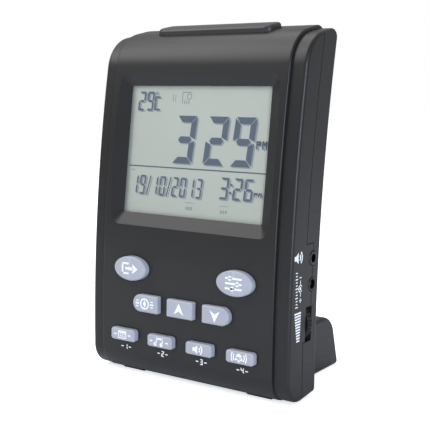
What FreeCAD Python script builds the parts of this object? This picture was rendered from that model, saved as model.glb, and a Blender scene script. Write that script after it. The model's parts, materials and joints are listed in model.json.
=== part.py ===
"""Desk clock with a liquid-crystal display, nine keys, a light bar, a volume wheel and a battery foot.

Frame: +X to the clock's right as its display is read, +Y to the rear, +Z up, in millimetres.
The origin is on the table, under the centre of the whole clock's footprint.
"""
import FreeCAD, Part
import math
import os

V = FreeCAD.Vector

# Body: a slab that bends back between concentric arcs, with a raised band round its middle
BODY_WIDTH = 102.0
SHOULDER = 6.8
CLOCK_DEPTH = 67.7
FACE_RADIUS = 690.0
UPRIGHT_Z = 6.9
BAND_STEP = 1.5
BODY_THICKNESS = 22.5
FRONT_DEPTH = 11.0
TOP_SETBACK = 37.6
TOP_Z = 151.4
TOP_RISE = 11.0
BOTTOM_RISE = 6.0
SLAB_LIFT = 0.35
PAD_HEIGHT = 0.2
WALL = 2.0
SEAM_GAP = 0.35
BAND_TOP_ROUND = 17.9
BAND_BOTTOM_ROUND = 11.5
SLAB_BOTTOM_ROUND = 10.0
REAR_TOP_ROUND = 3.5
REAR_BOTTOM_ROUND = 2.0
SIDE_ROUND = 1.6
BAND_EDGE_ROUND = 0.8
LIP_LENGTH = 1.8
LIP_WALL = 0.9
LIP_CLEARANCE = 0.1

# Display window and what lies behind it
DISPLAY_Z = 99.5
RECESS_MARGIN = 2.7
RECESS_HEIGHT = 66.0
RECESS_ROUND = 6.0
RECESS_SLOPE = 5.9
WINDOW_HEIGHT = 54.9
WINDOW_ROUND = 0.8
RECESS_DEPTH = 3.3
BEZEL_RIM = 1.6
BEZEL_BACK = 1.2
LENS_THICKNESS = 0.8
LENS_LAP = 1.0
LENS_CLEARANCE = 0.1
STACK_GAP = 0.1
LCD_THICKNESS = 2.2
LCD_MARGIN = 2.4
GUIDE_THICKNESS = 2.4
STRIP_THICKNESS = 1.6
BOARD_THICKNESS = 1.6
BOARD_MARGIN = 7.0
BOARD_HEIGHT = 63.0

# Keys
KEYPAD_Z = 33.9
KEY_PROUD = 2.5
KEY_TRAVEL = 0.8
KEY_CLEARANCE = 0.3
KEY_FLANGE = 1.0
KEY_FLANGE_GAP = 0.6
KEY_EDGE_ROUND = 0.9
OVAL_WIDTH = 17.4
OVAL_HEIGHT = 10.6
OVAL_SHARE = 0.2637
OVAL_ROW = 14.3
MIDDLE_WIDTH = 13.4
MIDDLE_HEIGHT = 7.6
MIDDLE_SHARE = 0.1784
SMALL_WIDTH = 13.2
SMALL_HEIGHT = 5.3
SMALL_SHARE = 0.199
SMALL_ROW = -15.3
SMALL_ROUND = 1.3
CORNER_ROUND = 0.6
STUB_RADIUS = 1.5
STUB_LENGTH = 0.6
DOME_RADIUS = 3.0
DOME_HEIGHT = 1.0
DOME_GAP = 0.2
MAT_THICKNESS = 0.8
MAT_MARGIN = 2.8
MAT_HEIGHT = 44.0
KEY_BOARD_MARGIN = 8.0
KEY_BOARD_HEIGHT = 50.0

# Light bar on the rounded top
BAR_MARGIN = 21.8
BAR_SETBACK = 27.25
BAR_LENGTH = 11.3
BAR_PROUD = 2.2
BAR_REACH = 7.0
BAR_TRAVEL = 0.8
BAR_CLEARANCE = 0.3
BAR_ROUND = 3.6
BAR_WALL = 1.4
BAR_FLANGE = 1.2
BAR_EDGE_ROUND = 1.3

# Right side: sockets and the volume wheel
JACK_SETBACK = 5.6
PHONE_Z = 58.1
POWER_Z = 47.6
PHONE_BORE = 3.6
PHONE_NOSE = 6.1
POWER_BORE = 4.1
POWER_NOSE = 5.6
POWER_PIN = 1.65
NOSE_CLEARANCE = 0.15
NOSE_PROUD = 0.25
SOCKET_DEPTH = 13.0
SOCKET_BODY = 7.6
SIDE_BOARD_Z = 44.0
SIDE_BOARD_WIDTH = 13.0
SIDE_BOARD_HEIGHT = 42.0
SIDE_BOARD_THICKNESS = 1.1
SIDE_BOARD_GAP = 0.4
WHEEL_Z = 31.7
WHEEL_RADIUS = 8.8
WHEEL_PROUD = 1.1
WHEEL_THICKNESS = 3.2
SLOT_HEIGHT = 14.2
SLOT_SIDE_GAP = 0.8
SHAFT_RADIUS = 2.0
SHAFT_CLEARANCE = 0.05
KNURL_COUNT = 32
KNURL_RADIUS = 0.45
JOG_TOP_Z = 64.3

# Speaker in the rear cover
SPEAKER_Z = 54.0
SPEAKER_RADIUS = 20.0
CONE_RADIUS = 17.0
MAGNET_RADIUS = 11.0
MAGNET_DEPTH = 4.5
BASKET_DEPTH = 6.0
BASKET_RIM = 1.4
GRILLE_SLOTS = 7
GRILLE_PITCH = 4.6
GRILLE_SLOT = 2.0
SURROUND = 0.4
RING_WALL = 1.2
RING_LENGTH = 4.0
RING_CLEARANCE = 0.15

# Foot with the battery bay
FOOT_WIDTH = 77.5
FOOT_TOP = 24.3
FOOT_SLOPE = 15.4
FOOT_TOP_ROUND = 10.0
FOOT_TOE_ROUND = 1.5
FOOT_EDGE_ROUND = 1.6
FOOT_WALL = 2.0
NECK_CLEARANCE = 0.2
CELL_RADIUS = 7.2
CELL_LENGTH = 49.2
CELL_NUB = 1.2
CELL_NUB_RADIUS = 2.7
CELL_GAP = 0.5
CELL_COUNT = 3
DOOR_THICKNESS = 1.5
DOOR_SINK = 0.5
DOOR_WIDTH = 61.6
DOOR_CLEARANCE = 0.25
DOOR_TRAVEL = 42.0
DOOR_TONGUE = 1.0
DOOR_LIP_HEIGHT = 3.8
CONTACT_THICKNESS = 0.4
SPRING_WIRE = 0.35
SPRING_RADIUS = 2.6
SPRING_TURNS = 3

# Fasteners and pads
SCREW_INSET = 5.5
SCREW_LOW_Z = 13.5
SCREW_HIGH_Z = 132.0
SCREW_RADIUS = 1.25
SCREW_HEAD_RADIUS = 2.4
SCREW_HEAD = 1.8
POST_RADIUS = 3.0
POST_GAP = 0.4
PILOT_CLEARANCE = 0.1
HEAD_CLEARANCE = 0.35
FOOT_SCREW_X = 35.6
BOARD_SCREW_INSET = 3.4
BOARD_SCREW_Z = 28.6
KEY_SCREW_HIGH = 20.5
KEY_SCREW_LOW = -8.0
BOARD_POST_RADIUS = 2.0
BOARD_SCREW_RADIUS = 1.0
BOARD_SCREW_HEAD = 1.3
TONGUE_WIDTH = 14.0
TONGUE_TOP = 44.0
PAD_LENGTH = 12.0
PAD_WIDTH = 3.4
PAD_SINK = 0.6

# Parts on the back of the main board: left, bottom, width, height and how far they stand off
CLOCK_CHIP_X = -14.0
CLOCK_CHIP_Z = 4.0
CLOCK_CHIP_RADIUS = 6.5
CLOCK_CHIP_TOP = 4.0
CLOCK_CHIP_HEIGHT = 1.6
MEMORY_CHIP = (8.0, -2.0, 10.0, 8.0, 2.0)
SOUND_CHIP = (24.0, 0.0, 7.0, 5.0, 1.6)
CRYSTAL_X = -4.0
CRYSTAL_Z = 14.0
CRYSTAL_LENGTH = 8.0
CRYSTAL_RADIUS = 1.5
CAPACITOR_RADIUS = 2.5
CAPACITOR_HEIGHT = 6.0
CAPACITOR_Z = -14.0
CAPACITOR_XS = (-24.0, -16.0, 28.0)

# Worked out from the sizes above
BAND_WIDTH = BODY_WIDTH - 2 * SHOULDER
RECESS_WIDTH = BAND_WIDTH - 2 * RECESS_MARGIN
WINDOW_WIDTH = RECESS_WIDTH - 2 * RECESS_SLOPE
BOARD_WIDTH = BODY_WIDTH - 2 * BOARD_MARGIN
BOARD_SCREW_X = BOARD_WIDTH / 2 - BOARD_SCREW_INSET
MAT_WIDTH = 2 * (BOARD_SCREW_X - MAT_MARGIN)
KEY_BOARD_WIDTH = BODY_WIDTH - 2 * KEY_BOARD_MARGIN
OVAL_X = OVAL_SHARE * BODY_WIDTH
MIDDLE_PITCH = MIDDLE_SHARE * BODY_WIDTH
SMALL_PITCH = SMALL_SHARE * BODY_WIDTH
BAR_WIDTH = BODY_WIDTH - 2 * BAR_MARGIN
SCREW_X = BODY_WIDTH / 2 - SCREW_INSET
KEY_LEAN = math.asin((KEYPAD_Z - UPRIGHT_Z) / FACE_RADIUS)
KEY_LOW = SMALL_ROW - SMALL_HEIGHT / 2 + KEY_EDGE_ROUND
KEY_REACH = ((KEY_PROUD - KEY_EDGE_ROUND) * math.cos(KEY_LEAN) - KEY_LOW * math.sin(KEY_LEAN)
             + KEY_EDGE_ROUND - FACE_RADIUS * (1 - math.cos(KEY_LEAN)))
FRONT_Y = (KEY_REACH - CLOCK_DEPTH) / 2
REAR_Y = FRONT_Y + CLOCK_DEPTH
CENTRE_Y = FRONT_Y + FACE_RADIUS
SLAB_RADIUS = FACE_RADIUS - BAND_STEP
SEAM_RADIUS = SLAB_RADIUS - FRONT_DEPTH
SLAB_REAR_RADIUS = SLAB_RADIUS - BODY_THICKNESS
BAND_REAR_RADIUS = SLAB_REAR_RADIUS - BAND_STEP
BOTTOM_Y = FRONT_Y + BAND_BOTTOM_ROUND * (1 + math.sin(math.radians(BOTTOM_RISE)))
BOTTOM_Z = PAD_HEIGHT + BAND_BOTTOM_ROUND * (1 - math.cos(math.radians(BOTTOM_RISE)))
FOOT_LEAN = math.radians(FOOT_SLOPE)
FOOT_REAR_Y = REAR_Y + FOOT_TOE_ROUND * (math.tan(FOOT_LEAN) + 1 / math.cos(FOOT_LEAN) - 1)
HALF = 0.5


def arc_y(radius, z):
    """Place along Y of a body arc at a height."""
    return CENTRE_Y - math.sqrt(radius ** 2 - (z - UPRIGHT_Z) ** 2)


def face_angle(z):
    """Lean of the band's front, in degrees, at a height."""
    return math.degrees(math.asin((z - UPRIGHT_Z) / FACE_RADIUS))


def face_frame(z):
    """Local frame on the band's front: X right, Y straight into the clock, Z up along the face."""
    turn = FreeCAD.Rotation(V(1, 0, 0), -face_angle(z))
    return FreeCAD.Placement(V(0, arc_y(FACE_RADIUS, z), z), turn)


def placed(shape, frame):
    """A copy of a shape that was made in a local frame, in the clock's frame."""
    out = shape.copy()
    out.Placement = frame.multiply(out.Placement)
    return out


def box(x0, x1, y0, y1, z0, z1):
    """Box between two corners."""
    return Part.makeBox(x1 - x0, y1 - y0, z1 - z0, V(x0, y0, z0))


def rod(radius, start, end):
    """Round bar between two points."""
    line = end.sub(start)
    return Part.makeCylinder(radius, line.Length, start, line)


def fused(shapes):
    """One solid from overlapping shapes."""
    out = shapes[0]
    for shape in shapes[1:]:
        out = out.fuse(shape)
    return out.removeSplitter()


def drum(radius, half_width=BODY_WIDTH):
    """Everything nearer the body's centre of curvature than a radius."""
    start = V(-half_width, CENTRE_Y, UPRIGHT_Z)
    return Part.makeCylinder(radius, 2 * half_width, start, V(1, 0, 0))


def top_corner(radius, drop):
    """Where a body arc meets the top line, lowered by a drop."""
    slope = math.radians(TOP_RISE)
    y = arc_y(radius, TOP_Z)
    for _ in range(6):
        z = TOP_Z + (y - FRONT_Y - TOP_SETBACK) * math.tan(slope) - drop / math.cos(slope)
        y = arc_y(radius, z)
    return V(0, y, z)


def bottom_corner(radius, lift):
    """Where a body arc meets the bottom line, raised by a lift."""
    slope = math.tan(math.radians(BOTTOM_RISE))
    y = arc_y(radius, UPRIGHT_Z)
    for _ in range(6):
        z = BOTTOM_Z + lift + (y - BOTTOM_Y) * slope
        y = arc_y(radius, z)
    return V(0, y, z)


def middle_of(radius, low, high):
    """A point of a body arc half way up between two of its points."""
    z = (low.z + high.z) * HALF
    return V(0, arc_y(radius, z), z)


def fillet_along_x(solid, corner, radius):
    """Round the edge along X that is nearest a corner of the side outline."""
    def distance(edge):
        point = edge.CenterOfMass
        return math.hypot(point.y - corner.y, point.z - corner.z)

    def runs_along_x(edge):
        return abs(edge.tangentAt(edge.FirstParameter).x) > 1 - 1e-6

    edges = [edge for edge in solid.Edges if runs_along_x(edge)]
    return solid.makeFillet(radius, [min(edges, key=distance)])


def end_edges(solid, half_width):
    """Edges of the two flat ends of a solid that was extruded along X."""
    return [edge for edge in solid.Edges
            if all(abs(abs(v.X) - half_width) < 1e-4 for v in edge.Vertexes)
            and abs(abs(edge.CenterOfMass.x) - half_width) < 1e-4]


def bent_block(half_width, front_r, rear_r, drop, lift, rounds, end_round=0.0):
    """Block between two concentric arcs with rounded corners: front top, rear top, rear and front bottom."""
    front_top = top_corner(front_r, drop)
    rear_top = top_corner(rear_r, drop)
    rear_low = bottom_corner(rear_r, lift)
    front_low = bottom_corner(front_r, lift)
    wire = Part.Wire([
        Part.Arc(front_low, middle_of(front_r, front_low, front_top), front_top).toShape(),
        Part.LineSegment(front_top, rear_top).toShape(),
        Part.Arc(rear_top, middle_of(rear_r, rear_low, rear_top), rear_low).toShape(),
        Part.LineSegment(rear_low, front_low).toShape(),
    ])
    face = Part.Face(wire)
    face.translate(V(-half_width, 0, 0))
    solid = face.extrude(V(2 * half_width, 0, 0))
    for corner, radius in zip((front_top, rear_top, rear_low, front_low), rounds):
        solid = fillet_along_x(solid, corner, radius)
    if end_round:
        solid = solid.makeFillet(end_round, end_edges(solid, half_width))
    return solid


def body_block(inset, detailed=False):
    """The whole body's outside, or its hollow where an inset is given."""
    half_slab = BODY_WIDTH * HALF - inset
    half_band = BAND_WIDTH * HALF - inset
    slab_rounds = (
        max(BAND_TOP_ROUND - BAND_STEP - inset, WALL),
        max(REAR_TOP_ROUND - inset, WALL * HALF),
        max(REAR_BOTTOM_ROUND - inset, WALL * HALF),
        max(SLAB_BOTTOM_ROUND - inset, WALL),
    )
    band_rounds = (
        max(BAND_TOP_ROUND - inset, WALL),
        max(REAR_TOP_ROUND + BAND_STEP - inset, WALL * HALF),
        max(REAR_BOTTOM_ROUND + BAND_STEP - inset, WALL * HALF),
        max(BAND_BOTTOM_ROUND - inset, WALL),
    )
    slab = bent_block(half_slab, SLAB_RADIUS - inset, SLAB_REAR_RADIUS + inset,
                      BAND_STEP + inset, SLAB_LIFT + inset, slab_rounds, SIDE_ROUND if detailed else 0.0)
    band = bent_block(half_band, FACE_RADIUS - inset, BAND_REAR_RADIUS + inset,
                      inset, inset, band_rounds, BAND_EDGE_ROUND if detailed else 0.0)
    return slab.fuse(band)


def side_tab(grow):
    """The stretch of the right wall where the front shell reaches back round the sockets."""
    slot_low = WHEEL_Z - SLOT_HEIGHT * HALF
    slab = box(BODY_WIDTH * HALF - WALL - LIP_WALL - 2 * grow, BODY_WIDTH, -CLOCK_DEPTH,
               CLOCK_DEPTH, slot_low - grow, JOG_TOP_Z + grow)
    return slab.cut(drum(SEAM_RADIUS - JACK_SETBACK - grow))


def front_region():
    """Space that the front shell may fill, up to the seam."""
    block = box(-BODY_WIDTH, BODY_WIDTH, -CLOCK_DEPTH, CLOCK_DEPTH, -FOOT_TOP, FACE_RADIUS)
    return block.cut(drum(SEAM_RADIUS + SEAM_GAP * HALF)).fuse(side_tab(-SEAM_GAP * HALF))


def rear_region():
    """Space that the rear cover may fill, behind the seam."""
    return drum(SEAM_RADIUS - SEAM_GAP * HALF).cut(side_tab(SEAM_GAP * HALF))


def rounded_wire(width, height, radius, y):
    """Rectangle with round corners in the local XZ plane, at a depth."""
    w = width * HALF
    h = height * HALF
    k = radius * (1 - math.sqrt(HALF))
    points = [
        (V(-w + radius, y, -h), V(w - radius, y, -h)),
        (V(w - radius, y, -h), V(w - k, y, -h + k), V(w, y, -h + radius)),
        (V(w, y, -h + radius), V(w, y, h - radius)),
        (V(w, y, h - radius), V(w - k, y, h - k), V(w - radius, y, h)),
        (V(w - radius, y, h), V(-w + radius, y, h)),
        (V(-w + radius, y, h), V(-w + k, y, h - k), V(-w, y, h - radius)),
        (V(-w, y, h - radius), V(-w, y, -h + radius)),
        (V(-w, y, -h + radius), V(-w + k, y, -h + k), V(-w + radius, y, -h)),
    ]
    edges = [(Part.Arc(*p) if len(p) == 3 else Part.LineSegment(*p)).toShape() for p in points]
    return Part.Wire(edges)


def rounded_plate(width, height, radius, y0, y1):
    """Plate with round corners between two local depths."""
    return Part.Face(rounded_wire(width, height, radius, y0)).extrude(V(0, y1 - y0, 0))


def recess_cutter():
    """The sloping-sided recess over the display, in the display's frame."""
    sag = FACE_RADIUS - math.sqrt(FACE_RADIUS ** 2 - (RECESS_HEIGHT * HALF) ** 2)
    side_run = (RECESS_WIDTH - WINDOW_WIDTH) / RECESS_DEPTH
    top_run = (RECESS_HEIGHT - WINDOW_HEIGHT) / (RECESS_DEPTH - sag)
    out = 1.0
    mouth = rounded_wire(RECESS_WIDTH + side_run * out, RECESS_HEIGHT + top_run * (out + sag),
                         RECESS_ROUND + out, -out)
    floor = rounded_wire(WINDOW_WIDTH, WINDOW_HEIGHT, WINDOW_ROUND, RECESS_DEPTH)
    return Part.makeLoft([mouth, floor], True, True)


def window_cutter():
    """Straight opening from the recess's floor to behind the bezel."""
    return rounded_plate(WINDOW_WIDTH, WINDOW_HEIGHT, WINDOW_ROUND, RECESS_DEPTH - LENS_CLEARANCE,
                         RECESS_DEPTH + 2 * BEZEL_BACK)


def oval_plate(width, height, grow, y0, y1):
    """Elliptical plate between two local depths."""
    curve = Part.Ellipse(V(0, 0, 0), width * HALF + grow, height * HALF + grow)
    face = Part.Face(Part.Wire([curve.toShape()]))
    face.rotate(V(0, 0, 0), V(1, 0, 0), 90)
    face.translate(V(0, y0, 0))
    return face.extrude(V(0, y1 - y0, 0))


def d_wire(width, height, radius, side, y):
    """Key outline with one half-round end; side is the round end's direction along X."""
    w = width * HALF
    h = height * HALF
    k = radius * (1 - math.sqrt(HALF))
    round_x = w - h
    parts = [
        Part.Arc(V(round_x, y, -h), V(w, y, 0), V(round_x, y, h)),
        Part.LineSegment(V(round_x, y, h), V(-w + radius, y, h)),
        Part.Arc(V(-w + radius, y, h), V(-w + k, y, h - k), V(-w, y, h - radius)),
        Part.LineSegment(V(-w, y, h - radius), V(-w, y, -h + radius)),
        Part.Arc(V(-w, y, -h + radius), V(-w + k, y, -h + k), V(-w + radius, y, -h)),
        Part.LineSegment(V(-w + radius, y, -h), V(round_x, y, -h)),
    ]
    wire = Part.Wire([part.toShape() for part in parts])
    if side < 0:
        wire.rotate(V(0, y, 0), V(0, 1, 0), 180)
    return wire


def d_plate(width, height, side, grow, y0, y1):
    """Key plate with one half-round end, grown all round."""
    wire = d_wire(width + 2 * grow, height + 2 * grow, CORNER_ROUND + grow, side, y0)
    return Part.Face(wire).extrude(V(0, y1 - y0, 0))


def key_plate(kind, grow, y0, y1):
    """A key's outline as a plate between two local depths, grown all round."""
    if kind == "oval":
        return oval_plate(OVAL_WIDTH, OVAL_HEIGHT, grow, y0, y1)
    if kind == "left":
        return d_plate(MIDDLE_WIDTH, MIDDLE_HEIGHT, -1, grow, y0, y1)
    if kind == "right":
        return d_plate(MIDDLE_WIDTH, MIDDLE_HEIGHT, 1, grow, y0, y1)
    if kind == "middle":
        return rounded_plate(MIDDLE_WIDTH + 2 * grow, MIDDLE_HEIGHT + 2 * grow,
                             CORNER_ROUND + grow, y0, y1)
    return rounded_plate(SMALL_WIDTH + 2 * grow, SMALL_HEIGHT + 2 * grow, SMALL_ROUND + grow, y0, y1)


def key_list():
    """Name, outline and place on the face of every key."""
    keys = [
        ("key_exit", "oval", -OVAL_X, OVAL_ROW),
        ("key_set", "oval", OVAL_X, OVAL_ROW),
        ("key_direction", "left", -MIDDLE_PITCH, 0.0),
        ("key_up", "middle", 0.0, 0.0),
        ("key_down", "right", MIDDLE_PITCH, 0.0),
    ]
    for index, name in enumerate(("key_calendar", "key_melody", "key_sound", "key_call")):
        keys.append((name, "small", (index - 1.5) * SMALL_PITCH, SMALL_ROW))
    return keys


def at_key(shape, x, row):
    """Move a shape from the keypad frame's centre to a key's place, in the clock's frame."""
    moved = shape.copy()
    moved.translate(V(x, 0, row))
    return placed(moved, face_frame(KEYPAD_Z))


def key(kind):
    """One key cap with its flange and stub, in the keypad frame."""
    flange_y = WALL + KEY_FLANGE_GAP
    cap = key_plate(kind, 0.0, -KEY_PROUD, flange_y + KEY_FLANGE * HALF)
    rim = [edge for edge in cap.Edges if abs(edge.BoundBox.YMax + KEY_PROUD) < 1e-4]
    cap = cap.makeFillet(KEY_EDGE_ROUND, rim)
    flange = key_plate(kind, KEY_FLANGE, flange_y, flange_y + KEY_FLANGE)
    stub_end = flange_y + KEY_FLANGE + STUB_LENGTH
    stub = rod(STUB_RADIUS, V(0, flange_y, 0), V(0, stub_end, 0))
    return fused([cap, flange, stub])


def mat_depth():
    """Local depth of the key mat's front."""
    stub_end = WALL + KEY_FLANGE_GAP + KEY_FLANGE + STUB_LENGTH
    return stub_end + KEY_TRAVEL + DOME_GAP + DOME_HEIGHT


def key_mat():
    """Silicone mat with a dome behind each key."""
    y = mat_depth()
    sheet = rounded_plate(MAT_WIDTH, MAT_HEIGHT, SMALL_ROUND, y, y + MAT_THICKNESS)
    domes = []
    for _, _, x, row in key_list():
        domes.append(Part.makeCone(DOME_RADIUS, DOME_RADIUS * HALF, DOME_HEIGHT, V(x, y, row),
                                   V(0, -1, 0)))
    return placed(fused([sheet] + domes), face_frame(KEYPAD_Z))


def key_board_depth():
    """Depth of the key board's front behind the face."""
    return mat_depth() + MAT_THICKNESS


def key_board():
    """Circuit board behind the key mat."""
    y = key_board_depth()
    board = rounded_plate(KEY_BOARD_WIDTH, KEY_BOARD_HEIGHT, SMALL_ROUND, y, y + BOARD_THICKNESS)
    for side in (-1, 1):
        notch = rod(POST_RADIUS + 2 * POST_GAP, V(side * SCREW_X, 0, SCREW_LOW_Z - KEYPAD_Z),
                    V(side * SCREW_X, 2 * y, SCREW_LOW_Z - KEYPAD_Z))
        board = board.cut(notch)
    return placed(board.cut(board_holes(y, KEYPAD_Z)), face_frame(KEYPAD_Z))


def bar_frame():
    """Local frame on the sloping top at the light bar's middle: Z out of the top."""
    z = TOP_Z + (BAR_SETBACK - TOP_SETBACK) * math.tan(math.radians(TOP_RISE))
    return FreeCAD.Placement(V(0, FRONT_Y + BAR_SETBACK, z), FreeCAD.Rotation(V(1, 0, 0), TOP_RISE))


def bar_block(grow):
    """Prism round the light bar's plan outline, through the top's wall."""
    wire = rounded_wire(BAR_WIDTH + 2 * grow, BAR_LENGTH + 2 * grow, BAR_ROUND + grow, 0.0)
    solid = Part.Face(wire).extrude(V(0, 2 * BAR_REACH, 0))
    solid.rotate(V(0, 0, 0), V(1, 0, 0), 90)
    solid.translate(V(0, 0, -BAR_REACH))
    return placed(solid, bar_frame())


def bar_shell(outset):
    """The band's outside with its top and front moved out, for the bar's crowned top."""
    rounds = (BAND_TOP_ROUND + outset, REAR_TOP_ROUND + BAND_STEP, REAR_BOTTOM_ROUND,
              SLAB_BOTTOM_ROUND)
    return bent_block(BAND_WIDTH * HALF, FACE_RADIUS + outset, BAND_REAR_RADIUS - BAND_STEP, -outset,
                      0.0, rounds)


def bar_rod(radius, low, high):
    """Round bar on the light bar's line of travel, between two heights over the top's face."""
    return placed(rod(radius, V(0, 0, low), V(0, 0, high)), bar_frame())


def flange_bottom():
    """Depth of the underside of the light bar's flange."""
    return WALL + KEY_FLANGE_GAP + BAR_FLANGE


def light_bar():
    """Push bar that follows the rounded top, hollow underneath, with a flange that holds it in."""
    crown = bar_shell(BAR_PROUD)
    cap = bar_block(0.0).common(crown)
    cap = cap.makeFillet(BAR_EDGE_ROUND, [edge for edge in cap.Edges if rises_on(edge, crown)])
    floor = bar_shell(-flange_bottom())
    skirt = cap.cut(floor)
    flange = bar_block(BAR_FLANGE).common(bar_shell(-WALL - KEY_FLANGE_GAP)).cut(floor)
    hollow = bar_block(-BAR_WALL).common(bar_shell(BAR_PROUD - BAR_WALL))
    stub = bar_rod(STUB_RADIUS, -flange_bottom(), BAR_PROUD - BAR_WALL * HALF)
    return fused([fused([skirt, flange]).cut(hollow), stub])


def rises_on(edge, crown):
    """Whether an edge lies on the crowned top of the light bar."""
    for parameter in (edge.FirstParameter, edge.LastParameter,
                      (edge.FirstParameter + edge.LastParameter) * HALF):
        point = Part.Vertex(edge.valueAt(parameter))
        if crown.Shells[0].distToShape(point)[0] > 1e-3:
            return False
    return True


def side_point(setback, z, x=BODY_WIDTH * HALF):
    """A point on the right wall, a setback behind the seam."""
    return V(x, arc_y(SEAM_RADIUS - setback, z), z)


def wheel_centre():
    """Middle of the volume wheel."""
    middle = side_point(SLOT_SIDE_GAP + WHEEL_THICKNESS * HALF + WHEEL_THICKNESS * HALF, WHEEL_Z)
    return V(BODY_WIDTH * HALF + WHEEL_PROUD - WHEEL_RADIUS, middle.y, WHEEL_Z)


def wheel_axis():
    """Axis of the volume wheel, straight into the clock at its height."""
    angle = math.radians(face_angle(WHEEL_Z))
    return V(0, math.cos(angle), -math.sin(angle))


def wheel_slot():
    """Slot in the side wall for the volume wheel."""
    middle = wheel_centre()
    depth = WHEEL_THICKNESS + 2 * SLOT_SIDE_GAP
    slot = box(middle.x, BODY_WIDTH, -depth * HALF, depth * HALF, -SLOT_HEIGHT * HALF,
               SLOT_HEIGHT * HALF)
    slot.rotate(V(0, 0, 0), V(1, 0, 0), -face_angle(WHEEL_Z))
    slot.translate(V(0, middle.y, middle.z))
    return slot


def volume_wheel():
    """Knurled thumbwheel that stands out of the right side."""
    middle = wheel_centre()
    axis = wheel_axis()
    start = middle.sub(axis * (WHEEL_THICKNESS * HALF))
    wheel = Part.makeCylinder(WHEEL_RADIUS, WHEEL_THICKNESS, start, axis)
    rims = [edge for edge in wheel.Edges if isinstance(edge.Curve, Part.Circle)]
    wheel = wheel.makeChamfer(KNURL_RADIUS, rims)
    grooves = []
    for index in range(KNURL_COUNT):
        angle = 360.0 * index / KNURL_COUNT
        groove = Part.makeCylinder(KNURL_RADIUS, WHEEL_THICKNESS * 2,
                                   start.add(V(WHEEL_RADIUS, 0, 0)).sub(axis * KNURL_RADIUS), axis)
        groove.rotate(middle, axis, angle)
        grooves.append(groove)
    bore = Part.makeCylinder(SHAFT_RADIUS + SHAFT_CLEARANCE, WHEEL_THICKNESS * 2,
                             start.sub(axis * WHEEL_THICKNESS * HALF), axis)
    return wheel.cut(Part.makeCompound(grooves)).cut(bore)


def volume_control():
    """Rotary control behind the volume wheel, with the shaft that carries it."""
    middle = wheel_centre()
    axis = wheel_axis()
    back = middle.add(axis * (WHEEL_THICKNESS * HALF + SLOT_SIDE_GAP * HALF))
    shaft = Part.makeCylinder(SHAFT_RADIUS, WHEEL_THICKNESS + 2 * SLOT_SIDE_GAP,
                              middle.sub(axis * (WHEEL_THICKNESS * HALF + SLOT_SIDE_GAP * HALF)), axis)
    can = Part.makeCylinder(WHEEL_RADIUS * HALF, BODY_THICKNESS, back, axis)
    return fused([shaft, can.common(before_side_board())])


def socket_frame(z):
    """Point on the right wall where a socket's axis comes out."""
    return side_point(JACK_SETBACK, z)


def socket_holes(clearance):
    """Round openings in the side wall for both sockets."""
    holes = []
    for z, nose in ((PHONE_Z, PHONE_NOSE), (POWER_Z, POWER_NOSE)):
        mouth = socket_frame(z)
        holes.append(rod(nose * HALF + clearance, V(mouth.x - 2 * WALL, mouth.y, z),
                         V(mouth.x + WALL, mouth.y, z)))
    return holes


def side_board_depth():
    """Depth of the side board's front behind the face."""
    return BAND_STEP + BODY_THICKNESS - WALL - SIDE_BOARD_GAP - SIDE_BOARD_THICKNESS


def side_board():
    """Small circuit board that carries the sockets and the volume control."""
    y = side_board_depth()
    x = wheel_centre().x
    half = SIDE_BOARD_WIDTH * HALF
    board = box(x - half, x + half * HALF, y, y + SIDE_BOARD_THICKNESS, -SIDE_BOARD_HEIGHT * HALF,
                SIDE_BOARD_HEIGHT * HALF)
    return placed(board, face_frame(SIDE_BOARD_Z))


def before_side_board():
    """Space in front of the side board."""
    return placed(box(-BODY_WIDTH, BODY_WIDTH, -CLOCK_DEPTH, side_board_depth(), -BODY_WIDTH, BODY_WIDTH),
                  face_frame(SIDE_BOARD_Z))


def socket_body(z, nose, bore):
    """Socket with a round nose in the wall and a square case behind it, on the side board."""
    mouth = socket_frame(z)
    face_x = mouth.x + NOSE_PROUD
    nose_rod = rod(nose * HALF, V(mouth.x - WALL - LIP_WALL, mouth.y, z), V(face_x, mouth.y, z))
    rim = [edge for edge in nose_rod.Edges if abs(edge.BoundBox.XMin - face_x) < 1e-4]
    nose_rod = nose_rod.makeFillet(NOSE_PROUD * 2, rim)
    half = SOCKET_BODY * HALF
    case_x = mouth.x - WALL - LIP_CLEARANCE
    case = box(face_x - SOCKET_DEPTH - WALL, case_x, mouth.y - half, mouth.y + half, z - half, z + half)
    hole = rod(bore * HALF, V(face_x - SOCKET_DEPTH, mouth.y, z), V(mouth.x + WALL, mouth.y, z))
    return fused([nose_rod, case.common(before_side_board())]).cut(hole)


def phone_socket():
    """Headphone socket."""
    return socket_body(PHONE_Z, PHONE_NOSE, PHONE_BORE)


def power_socket():
    """Supply socket, round its centre pin."""
    return socket_body(POWER_Z, POWER_NOSE, POWER_BORE)


def power_pin():
    """Centre contact of the supply socket."""
    mouth = socket_frame(POWER_Z)
    face_x = mouth.x + NOSE_PROUD
    return rod(POWER_PIN * HALF, V(face_x - SOCKET_DEPTH, mouth.y, POWER_Z),
               V(face_x - WALL * HALF, mouth.y, POWER_Z))


def screw_places():
    """Side and height of the four case screws."""
    return [(side * SCREW_X, z) for z in (SCREW_LOW_Z, SCREW_HIGH_Z) for side in (-1, 1)]


def screw_frame(x, z):
    """Point on the slab's rear face behind a case screw, and the way forwards into the clock."""
    angle = math.radians(face_angle(z))
    rear = V(x, arc_y(SLAB_REAR_RADIUS, z), z)
    return rear, V(0, -math.cos(angle), math.sin(angle))


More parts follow.
